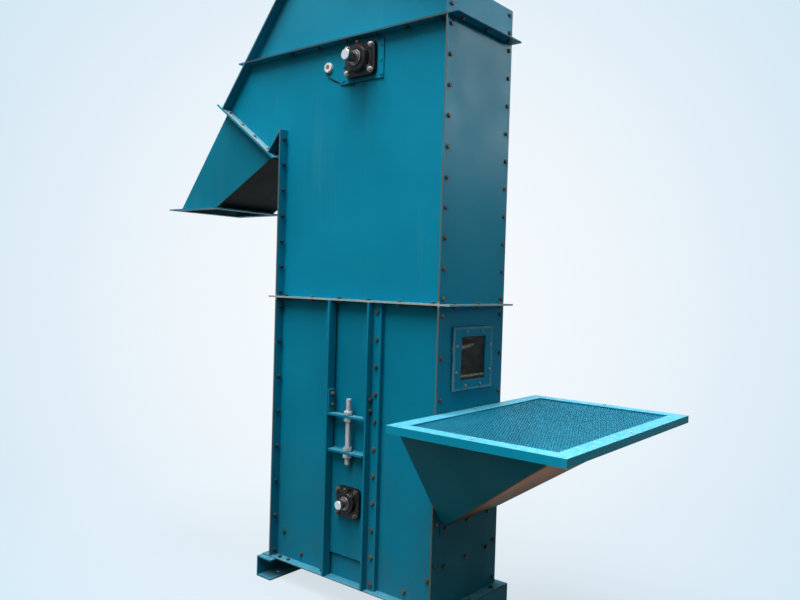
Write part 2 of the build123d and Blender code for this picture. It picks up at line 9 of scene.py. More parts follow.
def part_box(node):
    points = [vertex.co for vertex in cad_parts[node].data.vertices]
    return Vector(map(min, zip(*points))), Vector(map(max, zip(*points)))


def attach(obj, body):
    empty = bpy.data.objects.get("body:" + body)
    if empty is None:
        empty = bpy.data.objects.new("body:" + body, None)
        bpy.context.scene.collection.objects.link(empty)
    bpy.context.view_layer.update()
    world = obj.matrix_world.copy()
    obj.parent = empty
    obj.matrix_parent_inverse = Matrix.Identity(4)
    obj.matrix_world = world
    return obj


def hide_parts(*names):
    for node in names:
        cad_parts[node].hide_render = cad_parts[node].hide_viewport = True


# Bucket elevator in metres, +Z up, the front at -Y, the feed hopper towards +X, the chute towards -X.
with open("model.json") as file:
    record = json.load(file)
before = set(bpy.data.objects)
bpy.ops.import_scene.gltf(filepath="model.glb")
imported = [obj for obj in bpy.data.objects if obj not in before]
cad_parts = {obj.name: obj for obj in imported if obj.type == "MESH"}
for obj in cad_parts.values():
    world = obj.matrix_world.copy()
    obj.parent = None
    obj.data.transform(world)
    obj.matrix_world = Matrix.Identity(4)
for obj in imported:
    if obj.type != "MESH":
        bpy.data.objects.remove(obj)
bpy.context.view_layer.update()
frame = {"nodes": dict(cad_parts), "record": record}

# The casing's bent sheet and its slopes, and the chute's inlet flange
EDGE = 0.040
SHEET = 0.003
SPOUT_ANGLE = radians(50)
OUTLET_TILT = radians(35)
OUTLET_LEN = 0.362
ROOF_ANGLE = radians(18)
FLANGE_T = 0.005

# The window's opening, and the light streaks painted on its pane: drop, rise, half thickness and reach,
# as shares of it
WINDOW_DROP = 0.184
WINDOW_HALF = 0.075
LIGHT_STREAKS = ((0.25, 0.10, 0.055, 0.6), (0.90, 0.0, 0.04, 1.2))

# Bolts with washers; a hexagon is given by its half width over the flats
WASHER_R = 0.0085
WASHER_T = 0.0016
HEX_HALF = 0.0065
HEX_CHAMFER = 0.92
HEAD_T = 0.0053
NUT_T = 0.0065
STUD_R = 0.004
STUD_OUT = 0.004
SMALL = 0.62

# Rows of bolts along the casing: in from the sheet's edge, pitches, and the distance to the joint
ROW_IN = 0.020
TRUNK_PITCH = 0.100
TRUNK_ROW_RISE = 0.020
BOOT_PITCH = 0.1385
BOOT_ROW_DROP = 0.037
HOOD_PITCH = 0.065
HOOD_ROW_RISE = 0.034
JOINT_PITCH = 0.143
OUTLET_PITCH = 0.100

# Bolts of the feet, boot floor, hopper skirt, table rim and window frame
FOOT_BOLT_X = (0.357, 0.309)
FLOOR_BOLTS = ((0.355, 0.180), (0.257, 0.114))
FLOOR_TAB_Z = 0.231
SKIRT_Z = 0.362
END_PITCH = 0.130
RIM_ROW_IN = 0.020
FRAME_BOLTS = ((0.045, 0.092), (0.103, 0.045))

# Take-up: guide strips and legs, brackets, screws and nuts
STRIP_FACE = 0.179
STRIP_W = 0.036
STRIP_PITCH = 0.0971
LEG_T = 0.008
TAB_T = 0.006
TAB_ROW_Y = 0.188
TAB_DROPS = (0.058, 0.017)
BAR_T = 0.008
BAR_IN = 0.173
ROD_R = 0.010
ROD_CLEAR = 0.0005
ROD_SIDES = 16
ROD_ROWS = 4
THREAD_PITCH = 0.0025
THREAD_DEPTH = 0.0008
NUT_R = 0.017
NUT_H = 0.016
NUT_CHAMFER = 0.93
NUT_EDGE = 0.002
NUT_SKIN = 0.0004
NUT_TURN = pi / 6

# Bearings: half bolt spacings, flanges, bosses, inner rings and ribs, and the head's backing plates
HEAD_BOLT = (0.056, 0.044)
BOOT_BOLT = (0.043, 0.043)
HEAD_FLANGE_T = 0.018
BOOT_FLANGE_T = 0.013
HEAD_BOSS_R = 0.050
BOOT_BOSS_R = 0.042
BOSS_DRAFT = 0.2
HOUSING_SIDES = 96
CORNER_POWER = 7.0
CAST_CHAMFER = 0.0008
CAST_ROUND = 0.003
CAST_FILLET = 0.004
RIB_RISE = 0.007
RIB_WIDTH = 0.13
RECESS = 0.003
RING_OUT = 0.004
RING_T = 0.008
RING_GAP = 0.0004
RING_ROUND = 0.001
BORE_GAP = 0.0004
PLATE_ROW_IN = 0.009
PLATE_ROW_LOW = -0.056
PLATE_PITCH = 0.052

# Grease pipe
PIPE_R = 0.0020
PIPE_GAP = 0.0004

# Expanded metal: cell sizes, strand and knuckle share, and how far the strands tip up
MESH_SHORT = 0.009
MESH_LONG = 0.020
MESH_STRAND = 0.0016
MESH_THICK = 0.0008
MESH_KNUCKLE = 0.28
MESH_RISE = 0.0005

# The camera, fitted to the photograph's edges
CAMERA_AT = Vector((1.85188, -2.18618, 1.1883))
CAMERA_YAW = radians(39.16)
CAMERA_PITCH = radians(1.45)
CAMERA_ROLL = radians(1.67)
FOCAL_PX = 751.83
IMAGE_W = 800
SENSOR = 36.0

# Places read from the frame
panel_low, panel_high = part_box("trunk_right_panel")
hood_low, hood_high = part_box("hood_front_wall")
wall_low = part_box("boot_front_wall")[0]
trunk_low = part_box("trunk_front_wall")[0]
LIP_Y = -wall_low.y
WEB_Y = LIP_Y - EDGE
ROW_Y = LIP_Y - ROW_IN
HALF_W = panel_high.x - EDGE
BASE_Z = wall_low.z
MID_Z = panel_low.z
HEAD_Z = panel_high.z


def surface(rings, hollow=False):
    """A closed skin: each row of the grid is a ring of points, and rings that follow each other are
    joined by quads. The last ring is joined to the first where the skin is hollow, and else the first
    and last ring are filled with one face each."""
    count, sides, _ = rings.shape
    ring = np.arange(sides)
    rows = np.arange(count if hollow else count - 1)[:, None]
    here = rows * sides
    there = (rows + 1) % count * sides
    after = (ring + 1) % sides
    faces = [np.stack([here + ring, here + after, there + after, there + ring], axis=-1).reshape(-1, 4)]
    if not hollow:
        faces.append(np.stack([ring[::-1], (count - 1) * sides + ring]))
    return rings.reshape(-1, 3), faces


def turned(radii, heights, flats=0.0, sides=12, hollow=False):
    """A profile spun about Z: the ring at each height has that radius, and where flats is 1 it is a
    hexagon with that half width, its radius divided by the cosine of the angle from the nearest flat."""
    angle = 2 * pi * np.arange(sides) / sides
    corner = 1 / np.cos((angle + pi / 6) % (pi / 3) - pi / 6) - 1
    flat = np.broadcast_to(flats, np.shape(radii))[:, None]
    radius = np.asarray(radii)[:, None] * (1 + flat * corner)
    height = np.broadcast_to(np.asarray(heights)[:, None], radius.shape)
    rings = np.stack([radius * np.cos(angle), radius * np.sin(angle), height], axis=-1)
    return surface(rings, hollow)


def hexagon(half, top_half, low, shoulder, high):
    """A hexagon prism about Z that is turned down from its shoulder to a smaller, rounder top."""
    return turned([half, half, top_half], [low, shoulder, high], [1, 1, 0.2])


def turns_to(axes):
    """For each axis a turn that takes Z onto it, its columns the turned X, Y and Z."""
    z = axes / np.linalg.norm(axes, axis=1, keepdims=True)
    helper = np.where(np.abs(z[:, 2:]) > 0.9, (1.0, 0.0, 0.0), (0.0, 0.0, 1.0))
    x = np.cross(helper, z)
    x /= np.linalg.norm(x, axis=1, keepdims=True)
    return np.stack([x, np.cross(z, x), z], axis=-1)


def swept(radius, path, sides=10):
    """A round pipe along a path: at each point a circle of the radius, square to the path there."""
    turn = turns_to(np.gradient(path, axis=0))
    angle = 2 * pi * np.arange(sides) / sides
    circle = radius * np.stack([np.cos(angle), np.sin(angle), 0 * angle])
    return surface(path[:, None] + np.einsum("nij,js->nsi", turn, circle))


def curved(points, count):
    """A smooth path through the points. Between two of them, b and c, it is half of the cubic
    2b + (c - a)t + (2a - 5b + 4c - d)t2 + (3b - a - 3c + d)t3, with a and d the points beyond them."""
    points = np.array(points, float)
    full = np.concatenate([2 * points[:1] - points[1:2], points, 2 * points[-1:] - points[-2:-1]])
    t = np.linspace(0, len(points) - 1, count)
    k = np.minimum(t.astype(int), len(points) - 2)
    t = (t - k)[:, None]
    a, b, c, d = full[k], full[k + 1], full[k + 2], full[k + 3]
    return 0.5 * (2 * b + (c - a) * t + (2 * a - 5 * b + 4 * c - d) * t**2 + (3 * b - a - 3 * c + d) * t**3)


def joined(*shapes):
    """Several shapes as one, the later ones' faces numbered on from the earlier ones' points."""
    starts = np.cumsum([0] + [len(points) for points, _ in shapes])
    points = np.concatenate([points for points, _ in shapes])
    faces = [face + start for (_, polys), start in zip(shapes, starts) for face in polys]
    return points, faces


def repeated(shape, places):
    """Copies of a shape at places of (point, axis): each is spun about its own Z by a golden angle more
    than the last, so that no two hexagons line up, then turned to its axis and moved to its point."""
    points, faces = shape
    at = np.array([place[0] for place in places], float)
    spin = 2.39996 * np.arange(len(at))
    own = np.zeros((len(at), 3, 3))
    own[:, 0, 0] = own[:, 1, 1] = np.cos(spin)
    own[:, 1, 0] = np.sin(spin)
    own[:, 0, 1] = -own[:, 1, 0]
    own[:, 2, 2] = 1
    turn = turns_to(np.array([place[1] for place in places], float)) @ own
    moved = np.einsum("nij,vj->nvi", turn, points) + at[:, None]
    step = (np.arange(len(at)) * len(points))[:, None, None]
    return moved.reshape(-1, 3), [(step + face).reshape(-1, face.shape[1]) for face in faces]


def piece(name, shape, body, look, sharp=35):
    """A mesh object made from a shape, at the origin, riding on a body. Edges that turn by more than
    sharp degrees are shaded sharp."""
    points, faces = shape
    mesh = bpy.data.meshes.new(name)
    loops = np.concatenate([face.ravel() for face in faces])
    sizes = np.concatenate([np.full(len(face), face.shape[1]) for face in faces])
    mesh.vertices.add(len(points))
    mesh.vertices.foreach_set("co", np.ascontiguousarray(points, np.float32).ravel())
    mesh.loops.add(len(loops))
    mesh.loops.foreach_set("vertex_index", loops.astype(np.int32))
    mesh.polygons.add(len(sizes))
    mesh.polygons.foreach_set("loop_start", (np.cumsum(sizes) - sizes).astype(np.int32))
    mesh.polygons.foreach_set("use_smooth", np.ones(len(sizes), bool))
    mesh.update(calc_edges=True)
    mesh.validate()
    mesh.set_sharp_from_angle(angle=radians(sharp))
    mesh.materials.append(look)
    made = bpy.data.objects.new(name, mesh)
    bpy.context.scene.collection.objects.link(made)
    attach(made, body)
    return made


class Nodes:
    """A material or world node tree, with short calls for what the looks need."""

    def __init__(self, tree):
        self.tree = tree
        tree.nodes.clear()

    def add(self, kind, **values):
        """One node: its own properties by name, and its sockets by name or number under inputs."""
        node = self.tree.nodes.new(kind)
        for key, value in values.pop("inputs", {}).items():
            self.feed(node.inputs[key], value)
        for key, value in values.items():
            setattr(node, key, value)
        return node

    def feed(self, socket, value):
        """Links an output to a socket, or sets the socket's own value."""
        if isinstance(value, bpy.types.NodeSocket):
            self.tree.links.new(value, socket)
        else:
            socket.default_value = value

    def split(self, vector):
        """A vector's three values."""
        return self.add("ShaderNodeSeparateXYZ", inputs={0: vector}).outputs

    def noise(self, scale, detail=3.0, rough=0.55, stretch=(1, 1, 1)):
        """Fractal noise from 0 to 1 on object coordinates, scale in waves per metre."""
        spot = self.add("ShaderNodeTexCoord").outputs["Object"]
        place = self.add("ShaderNodeMapping", inputs={"Vector": spot, "Scale": stretch}).outputs[0]
        inputs = {"Vector": place, "Scale": scale, "Detail": detail, "Roughness": rough}
        return self.add("ShaderNodeTexNoise", inputs=inputs).outputs["Fac"]

    def ramp(self, value, low, high, to_low=0.0, to_high=1.0):
        """A value moved from one range to another and kept inside it."""
        inputs = {"Value": value, 1: low, 2: high, 3: to_low, 4: to_high}
        return self.add("ShaderNodeMapRange", inputs=inputs).outputs[0]

    def maths(self, operation, a, b=0.0):
        """One sum of two values."""
        return self.add("ShaderNodeMath", operation=operation, inputs={0: a, 1: b}).outputs[0]

    def times(self, first, *others):
        """The product of several values."""
        for other in others:
            first = self.maths("MULTIPLY", first, other)
        return first

    def off(self, value, middle):
        """How far a value is from a middle, to either side."""
        return self.maths("ABSOLUTE", self.maths("SUBTRACT", value, middle))

    def mix(self, share, a, b):
        """A colour between a and b."""
        node = self.add("ShaderNodeMix", data_type="RGBA")
        self.feed(node.inputs["Factor"], share)
        self.feed(node.inputs[6], a)
        self.feed(node.inputs[7], b)
        return node.outputs[2]

    def blend(self, share, a, b):
        """A shader between a and b."""
        return self.add("ShaderNodeMixShader", inputs={0: share, 1: a, 2: b}).outputs[0]

    def bump(self, height, strength, depth):
        """A normal tilted by a height pattern that is depth metres deep."""
        inputs = {"Height": height, "Strength": strength, "Distance": depth}
        return self.add("ShaderNodeBump", inputs=inputs).outputs[0]

    def finish(self, colour, rough, normal=None, **constants):
        """Puts the principled shader and the output at the end of a material's nodes."""
        end = self.add("ShaderNodeBsdfPrincipled")
        self.feed(end.inputs["Base Color"], colour)
        self.feed(end.inputs["Roughness"], rough)
        if normal is not None:
            self.feed(end.inputs["Normal"], normal)
        for key, value in constants.items():
            end.inputs[key.replace("_", " ")].default_value = value
        self.add("ShaderNodeOutputMaterial", inputs={"Surface": end.outputs[0]})


def new_material(name):
    """An empty node material."""
    material = bpy.data.materials.new(name)
    material.use_nodes = True
    return material, Nodes(material.node_tree)


def linear(red, green, blue):
    """A colour given as screen values of 0 to 255, as the light values that the shaders take."""
    share = np.array([red, green, blue]) / 255
    light = np.where(share > 0.04045, ((share + 0.055) / 1.055) ** 2.4, share / 12.92)
    return (*light, 1.0)


# Colours of the paint, of what shows where it is rubbed through, of what lies on it, and of light and shade
# painted on it
TEAL = linear(9, 128, 157)
TEAL_DEEP = linear(6, 114, 141)
# The chute's teal: a darker copy of the casing's, as painted shade
CHUTE_TEAL_SHADED = linear(9, 112, 136)
CHUTE_DEEP_SHADED = linear(7, 102, 124)
# The rim's teal, also the mesh's: a lighter copy of the casing's, as painted light
RIM_TEAL_LIT = linear(13, 146, 178)
RIM_DEEP_LIT = linear(10, 136, 166)
# Pale chalk in the runs and on rubbed frames, and the painted sheen towards the top of the hood
TEAL_CHALK_SHEEN = linear(116, 158, 164)
TEAL_PALE = linear(150, 196, 204)
# The outlet flange's top: rubbed, and partly a painted sheen
FLANGE_WORN_SHEEN = linear(140, 158, 156)
BARE_LIP = linear(96, 94, 82)
# The pale lip at the middle joint, partly a painted highlight
BARE_PALE_LIT = linear(176, 174, 162)
LIP_SHADE = linear(40, 54, 56)
# A painted reflection of brown ground on faces that look down, and its darker part near the casing
GROUND_REFLECTION_BROWN = linear(248, 172, 118)
GROUND_REFLECTION_SHADED = linear(66, 48, 34)
ROAD_DUST = linear(70, 80, 80)
# Dirt in the paint's speckle, and the tone of the painted shade on high tops and under the head bearings
DIRT_AND_SHADE = linear(10, 44, 54)

# The paint's gloss, and the heights at which the painted shadow under the head bearings begins and ends
PAINT_SHEEN = 0.06
BEARING_SHADOW_TOP = 1.905
BEARING_SHADOW_LOW = 1.72


class Spots:
    """What the enamel's patterns read: where a point is, which way its face looks, and two noises."""

    def __init__(self, n):
        spot = n.add("ShaderNodeTexCoord").outputs
        self.x, self.y, self.height = n.split(spot["Object"])
        self.up = n.split(spot["Normal"])["Z"]
        self.reach = n.maths("ABSOLUTE", self.x)
        self.depth = n.maths("ABSOLUTE", self.y)
        self.patchy = n.noise(9.0, 4.0)
        self.fine = n.noise(70.0, 4.0, 0.65)


def base_coat(n, light, dark, speckle):
    """Broad tone changes, faint runs of pale chalk down the sheet, and a share of dirt in a fine pattern.
    """
    colour = n.mix(n.ramp(n.noise(1.7, 4.0), 0.35, 0.65), dark, light)
    runs = n.ramp(n.noise(14.0, 3.0, 0.6, (1, 1, 0.06)), 0.58, 0.85, 0.0, 0.12)
    colour = n.mix(runs, colour, TEAL_CHALK_SHEEN)
    if speckle:
        clogged = n.ramp(n.noise(190.0, 2.0), 0.48, 0.62, 0.0, speckle)
        colour = n.mix(clogged, colour, DIRT_AND_SHADE)
    return colour


def weather_and_light(n, spots, colour, chalk):
    """Painted sheen towards the top of the hood, chalk on faces that look up, partly painted top light,
    painted shade on those high up, and a pale outlet flange, rubbed and partly a painted sheen."""
    # Painted sheen: paler towards the top of the hood
    colour = n.mix(n.ramp(spots.height, 1.95, 2.4, 0.0, 0.12), colour, TEAL_CHALK_SHEEN)
    # Chalk on faces that look up, which is partly painted top light
    looks_up = n.ramp(spots.up, 0.70, 0.80)
    chalk_and_top_light = n.times(looks_up, n.ramp(spots.fine, 0.35, 0.7, 0.2 * chalk, chalk))
    colour = n.mix(chalk_and_top_light, colour, TEAL_PALE)
    # Painted shade on faces that look up high on the machine, except at the chute
    high_top_shade = n.times(
        looks_up,
        n.ramp(spots.height, 1.2, 2.1, 0.0, 0.62),
        n.ramp(spots.x, -0.44, -0.40),
        n.ramp(n.noise(5.0, 5.0, 0.65), 0.3, 0.7, 0.75, 1.0),
    )
    colour = n.mix(high_top_shade, colour, DIRT_AND_SHADE)
    # The outlet flange's top, rubbed and partly a painted sheen
    by_outlet = n.ramp(spots.x, -0.47, -0.44, 0.6, 0.0)
    worn_and_lit = n.times(looks_up, by_outlet, n.ramp(spots.fine, 0.3, 0.6, 0.6, 1.0))
    return n.mix(worn_and_lit, colour, FLANGE_WORN_SHEEN)


def bearing_shadow(n, spots):
    """The share of painted shadow that darkens the wall under the head bearings, in streaks."""
    return n.times(
        n.ramp(spots.reach, 0.055, 0.13, 0.55, 0.0),
        n.ramp(spots.height, BEARING_SHADOW_LOW, BEARING_SHADOW_TOP),
        n.ramp(spots.height, BEARING_SHADOW_TOP, BEARING_SHADOW_TOP + 0.02, 1.0, 0.0),
        n.ramp(n.noise(16.0, 3.0, 0.6, (1, 1, 0.15)), 0.3, 0.7, 0.3, 1.0),
    )


def near_plane(n, away, plane):
    """1 on a sheet's cut edge that ends at a plane, and 0 further in or past it."""
    return n.times(
        n.ramp(away, plane - 0.0012, plane - 0.0006),
        n.ramp(away, plane + 0.001, plane + 0.002, 1.0, 0.0),
    )


def lips_worn_and_lit(n, spots, lips):
    """Where the sheet's cut edges have lost their paint, and the colour there: dull, pale at the middle
    joint, partly a painted highlight, and dark with painted shade at the hood's."""
    worn_and_lit = near_plane(n, spots.depth, LIP_Y)
    if "X" in lips:
        worn_and_lit = n.maths("MAXIMUM", worn_and_lit, near_plane(n, spots.reach, HALF_W + EDGE))
    middle = n.ramp(n.off(spots.height, MID_Z), 0.006, 0.012, 1.0, 0.0)
    lip_colour = n.mix(n.times(middle, n.ramp(spots.fine, 0.3, 0.6, 0.6, 1.0)), BARE_LIP, BARE_PALE_LIT)
    # Painted shade: the lips at the hood's joint turn dark
    hood = n.ramp(n.off(spots.height, HEAD_Z), 0.005, 0.008, 0.85, 0.0)
    lip_colour = n.mix(n.times(hood, n.ramp(spots.patchy, 0.35, 0.6, 1.0, 0.7)), lip_colour, LIP_SHADE)
    return worn_and_lit, lip_colour


def rubbed_outline(n, spots, frame_edge):
    """The share of pale rubbing along a frame's outline, given by its middle and half sizes."""
    middle, half = frame_edge
    outline = n.maths(
        "MAXIMUM",
        n.ramp(n.off(spots.y, middle.y), half.y - 0.013, half.y - 0.003),
        n.ramp(n.off(spots.height, middle.z), half.z - 0.011, half.z - 0.003),
    )
    return n.times(outline, n.ramp(spots.fine, 0.35, 0.65, 0.25, 0.9))


def ground_reflection(n, spots, colour):
    """A painted reflection of brown ground on faces that look at the ground, darker near the casing."""
    under = n.times(n.ramp(spots.up, -0.3, -0.6), n.ramp(n.noise(7.0, 4.0), 0.2, 0.5, 0.7, 1.0))
    brown = n.mix(n.ramp(spots.reach, 0.46, 0.84), GROUND_REFLECTION_SHADED, GROUND_REFLECTION_BROWN)
    return n.mix(under, colour, brown)


def enamel(
    name,
    light=TEAL,
    dark=TEAL_DEEP,
    lips=(),
    frame_edge=None,
    reflects_ground=False,
    chalk=0.28,
    speckle=0.0,
    sheen=PAINT_SHEEN,
):
    """Teal machine enamel with orange peel, weather marks and painted light, dusty low down, and with a
    painted shadow under the head bearings. Lips names the axes along which the sheet's cut edges end at the
    casing's
    planes: there the paint is rubbed off, the pale part partly a painted highlight. Frame_edge is the
    middle and half sizes of a frame whose outline is rubbed pale. A painted reflection of brown ground
    shows where its flag is set and the face looks at the ground. Chalk is the most that lies on faces that
    look up, partly painted top light, speckle the share of dirt caught in the paint, and sheen its gloss."""
    material, n = new_material(name)
    spots = Spots(n)
    colour = weather_and_light(n, spots, base_coat(n, light, dark, speckle), chalk)
    dust = n.times(n.ramp(spots.height, 0.06, 0.60, 0.4, 0.0), n.ramp(n.noise(5.0, 5.0, 0.65), 0.35, 0.75))
    colour = n.mix(dust, colour, ROAD_DUST)
    # Painted shadow under the head bearings
    colour = n.mix(bearing_shadow(n, spots), colour, DIRT_AND_SHADE)
    rough = n.ramp(n.noise(6.0, 5.0), 0.3, 0.7, 0.38, 0.50)
    rough = n.maths("ADD", rough, n.times(dust, 0.5))
    # Cut edges that have lost their paint; the pale ones are partly painted highlights
    if lips:
        worn_and_lit, lip_colour = lips_worn_and_lit(n, spots, lips)
        colour = n.mix(n.times(worn_and_lit, n.ramp(spots.patchy, 0.3, 0.6, 0.6, 0.95)), colour, lip_colour)
        rough = n.maths("ADD", rough, n.times(worn_and_lit, 0.3))
    if frame_edge:
        colour = n.mix(rubbed_outline(n, spots, frame_edge), colour, TEAL_CHALK_SHEEN)
    # Painted reflection of brown ground on faces that look down
    if reflects_ground:
        colour = ground_reflection(n, spots, colour)
    peel = n.bump(n.noise(420.0, 2.0), 0.10, 0.0004)
    n.finish(colour, rough, peel, Specular_IOR_Level=sheen)
    return material


def metal(name, bright, dull, rough, scale, metallic=1.0):
    """A metal whose tone wanders between bright and dull, scale in waves per metre."""
    material, n = new_material(name)
    pattern = n.noise(scale, 4.0, 0.6)
    colour = n.mix(n.ramp(pattern, 0.3, 0.7), dull, bright)
    gloss = n.ramp(n.noise(scale * 0.4, 3.0, 0.5), 0.3, 0.7, rough, rough + 0.14)
    n.finish(colour, gloss, n.bump(pattern, 0.25, 0.0002), Metallic=metallic)
    return material


def bolt_metal(name):
    """Dull plated bolts: each has its own tone, those low on the machine have begun to rust, those above
    the middle joint are darker, and those on the spout's side are dark teal."""
    material, n = new_material(name)
    tone = n.mix(n.ramp(n.noise(11.0, 1.0), 0.35, 0.65), linear(46, 48, 47), linear(98, 97, 90))
    spot = n.split(n.add("ShaderNodeTexCoord").outputs["Object"])
    rust = n.times(n.ramp(spot["Z"], 0.3, 1.3, 0.8, 0.2), n.ramp(n.noise(130.0, 4.0, 0.7), 0.42, 0.62))
    colour = n.mix(rust, tone, linear(98, 84, 64))
    colour = n.mix(n.ramp(spot["Z"], 1.08, 1.3, 0.0, 0.5), colour, linear(26, 40, 44))
    # Bolts on the spout's side turn dark teal
    colour = n.mix(n.ramp(spot["X"], -0.33, -0.31, 0.75, 0.0), colour, linear(12, 58, 70))
    n.finish(colour, n.ramp(rust, 0.0, 0.8, 0.5, 0.8), Metallic=0.1, Specular_IOR_Level=0.15)
    return material


def cast_black(name):
    """Black painted iron: sand texture, small scuffs and a little dust."""
    material, n = new_material(name)
    scuff = n.ramp(n.noise(45.0, 5.0, 0.7), 0.56, 0.72, 0.0, 0.5)
    colour = n.mix(scuff, linear(16, 15, 17), linear(66, 58, 56))
    dusty = n.ramp(n.noise(9.0, 3.0), 0.4, 0.8, 0.0, 0.15)
    colour = n.mix(dusty, colour, linear(88, 78, 70))
    gloss = n.ramp(scuff, 0.0, 0.5, 0.32, 0.6)
    n.finish(colour, gloss, n.bump(n.noise(500.0, 3.0), 0.3, 0.0005), Specular_IOR_Level=0.22)
    return material


def rubber(name):
    """Black rubber cover with a fabric print and grain dust."""
    material, n = new_material(name)
    dusty = n.ramp(n.noise(12.0, 5.0, 0.65), 0.4, 0.75, 0.05, 0.45)
    colour = n.mix(dusty, linear(30, 29, 30), linear(98, 92, 84))
    n.finish(colour, 0.8, n.bump(n.noise(350.0, 2.0), 0.3, 0.0006))
    return material


def pane(name, middle, half):
    """Clear sheet that mirrors a little and carries a thin layer of dust, with two pale painted streaks of
    light across its opening, which is given by its middle and half width: one a quarter down from the front
    edge, and one along the sill."""
    material, n = new_material(name)
    film_and_streaks = n.ramp(n.noise(14.0, 5.0, 0.7, (1, 1, 2.6)), 0.5, 0.75, 0.03, 0.18)
    spot = n.split(n.add("ShaderNodeTexCoord").outputs["Object"])
    along = n.ramp(spot["Y"], middle.y - half, middle.y + half)
    down = n.ramp(spot["Z"], middle.z + half, middle.z - half)
    ragged = n.ramp(n.noise(60.0, 4.0, 0.6), 0.35, 0.65, 0.35, 1.0)
    # Two pale painted streaks of light across the pane
    for drop, rise, thick, reach in LIGHT_STREAKS:
        away = n.off(n.maths("ADD", down, n.times(along, rise)), drop)
        streak = n.times(
            n.ramp(away, 0.4 * thick, thick, 0.62, 0.0),
            ragged,
            n.ramp(along, reach - 0.15, reach, 1.0, 0.0),
        )
        film_and_streaks = n.maths("MAXIMUM", film_and_streaks, streak)
    through = n.add("ShaderNodeBsdfTransparent", inputs={"Color": (0.86, 0.88, 0.87, 1)})
    mirrored = n.add("ShaderNodeBsdfGlossy", inputs={"Roughness": 0.05})
    edge_on = n.add("ShaderNodeFresnel", inputs={"IOR": 1.06}).outputs[0]
    sheet = n.blend(edge_on, through.outputs[0], mirrored.outputs[0])
    dust = n.add("ShaderNodeBsdfDiffuse", inputs={"Color": linear(196, 170, 150)})
    n.add("ShaderNodeOutputMaterial", inputs={"Surface": n.blend(film_and_streaks, sheet, dust.outputs[0])})
    return material


def ring_plastic(name, middle):
    """White moulded plastic, yellowed a little, with a brown rubber middle round the given place."""
    material, n = new_material(name)
    spot = n.add("ShaderNodeTexCoord").outputs["Object"]
    away = n.add("ShaderNodeVectorMath", operation="DISTANCE", inputs={0: spot, 1: middle}).outputs["Value"]
    inner = n.ramp(away, 0.0098, 0.0102, 1.0, 0.0)
    shade = n.ramp(n.noise(60.0, 3.0), 0.4, 0.7, 0.0, 0.5)
    ring = n.mix(shade, linear(236, 236, 232), linear(206, 196, 180))
    centre = n.mix(shade, linear(158, 132, 120), linear(112, 92, 84))
    n.finish(n.mix(inner, ring, centre), n.ramp(shade, 0.0, 0.5, 0.35, 0.5))
    return material


def shaft_metal(name):
    """Turned steel, bright on the cut end faces and browned by oil and flash rust along its length."""
    material, n = new_material(name)
    side = n.split(n.add("ShaderNodeTexCoord").outputs["Normal"])["Y"]
    end = n.ramp(n.maths("ABSOLUTE", side), 0.5, 0.9)
    turned_marks = n.noise(300.0, 3.0, 0.6, (1, 4, 1))
    oiled = n.mix(n.ramp(n.noise(40.0, 4.0), 0.3, 0.7), linear(84, 76, 72), linear(146, 138, 132))
    bright = n.mix(n.ramp(turned_marks, 0.3, 0.7), linear(196, 196, 196), linear(232, 232, 230))
    gloss = n.ramp(turned_marks, 0.3, 0.7, 0.28, 0.42)
    n.finish(n.mix(end, oiled, bright), gloss, n.bump(turned_marks, 0.2, 0.0002), Metallic=0.9)
    return material


# Enamels
teal = enamel("teal_enamel")
bottom_teal = enamel("hopper_bottom_enamel", reflects_ground=True, sheen=0.006)
window_low, window_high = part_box("window_frame")
window_mid = (window_low + window_high) / 2
window_half = (window_high - window_low) / 2
frame_teal = enamel("window_frame_enamel", frame_edge=(window_mid, window_half))
# The mesh and the rim in lighter copies of the teal, as painted light
mesh_teal_lit = enamel("mesh_enamel_lit", light=RIM_TEAL_LIT, dark=TEAL, chalk=0.12, speckle=0.65)
rim_teal_lit = enamel("rim_enamel_lit", light=RIM_TEAL_LIT, dark=RIM_DEEP_LIT, chalk=0.4)
# The chute in a darker copy of the teal, as painted shade
chute_teal_shaded = enamel("chute_enamel_shaded", light=CHUTE_TEAL_SHADED, dark=CHUTE_DEEP_SHADED)
# The chute's underside in dark grey primer, so dark that it is partly painted shade
chute_grey_shaded = enamel(
    "chute_bottom_primer_shaded", light=linear(44, 54, 52), dark=linear(36, 46, 45), chalk=0.1, sheen=0.03
)
wall_teal = enamel("wall_enamel", lips=("Y",))
panel_teal = enamel("panel_enamel", lips=("X", "Y"))

# Metals, rubber, plastic and the pane
zinc = metal("zinc_plating", linear(184, 176, 176), linear(122, 112, 112), 0.42, scale=90.0)
rod_look = metal(
    "dull_zinc_thread", linear(186, 190, 194), linear(146, 146, 150), 0.5, scale=25.0, metallic=0.4
)
iron = metal("pulley_iron", linear(92, 88, 86), linear(54, 50, 48), 0.5, scale=40.0, metallic=0.7)
bucket_steel = metal(
    "bucket_steel", linear(222, 214, 200), linear(160, 148, 134), 0.5, scale=30.0, metallic=0.15
)
pale_screw = metal(
    "pale_screw_steel", linear(150, 156, 150), linear(92, 100, 98), 0.5, scale=80.0, metallic=0.3
)
ring_steel = metal("ring_steel", linear(126, 122, 120), linear(70, 66, 64), 0.35, scale=120.0, metallic=0.8)
brass = metal("nipple_brass", linear(124, 70, 52), linear(80, 40, 34), 0.45, scale=90.0, metallic=0.6)
steel = shaft_metal("turned_steel")
bolts_look = bolt_metal("bolt_plating")
black = cast_black("bearing_black_paint")
pipe_look = cast_black("pipe_black")
belt_look = rubber("belt_rubber")
clear = pane("dusty_clear_sheet", Vector((0, 0, MID_Z - WINDOW_DROP)), WINDOW_HALF)
cap_low, cap_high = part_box("wall_cap")
cap_mid = (cap_low + cap_high) / 2
white = ring_plastic("white_plastic", (cap_mid.x, cap_low.y, cap_mid.z))

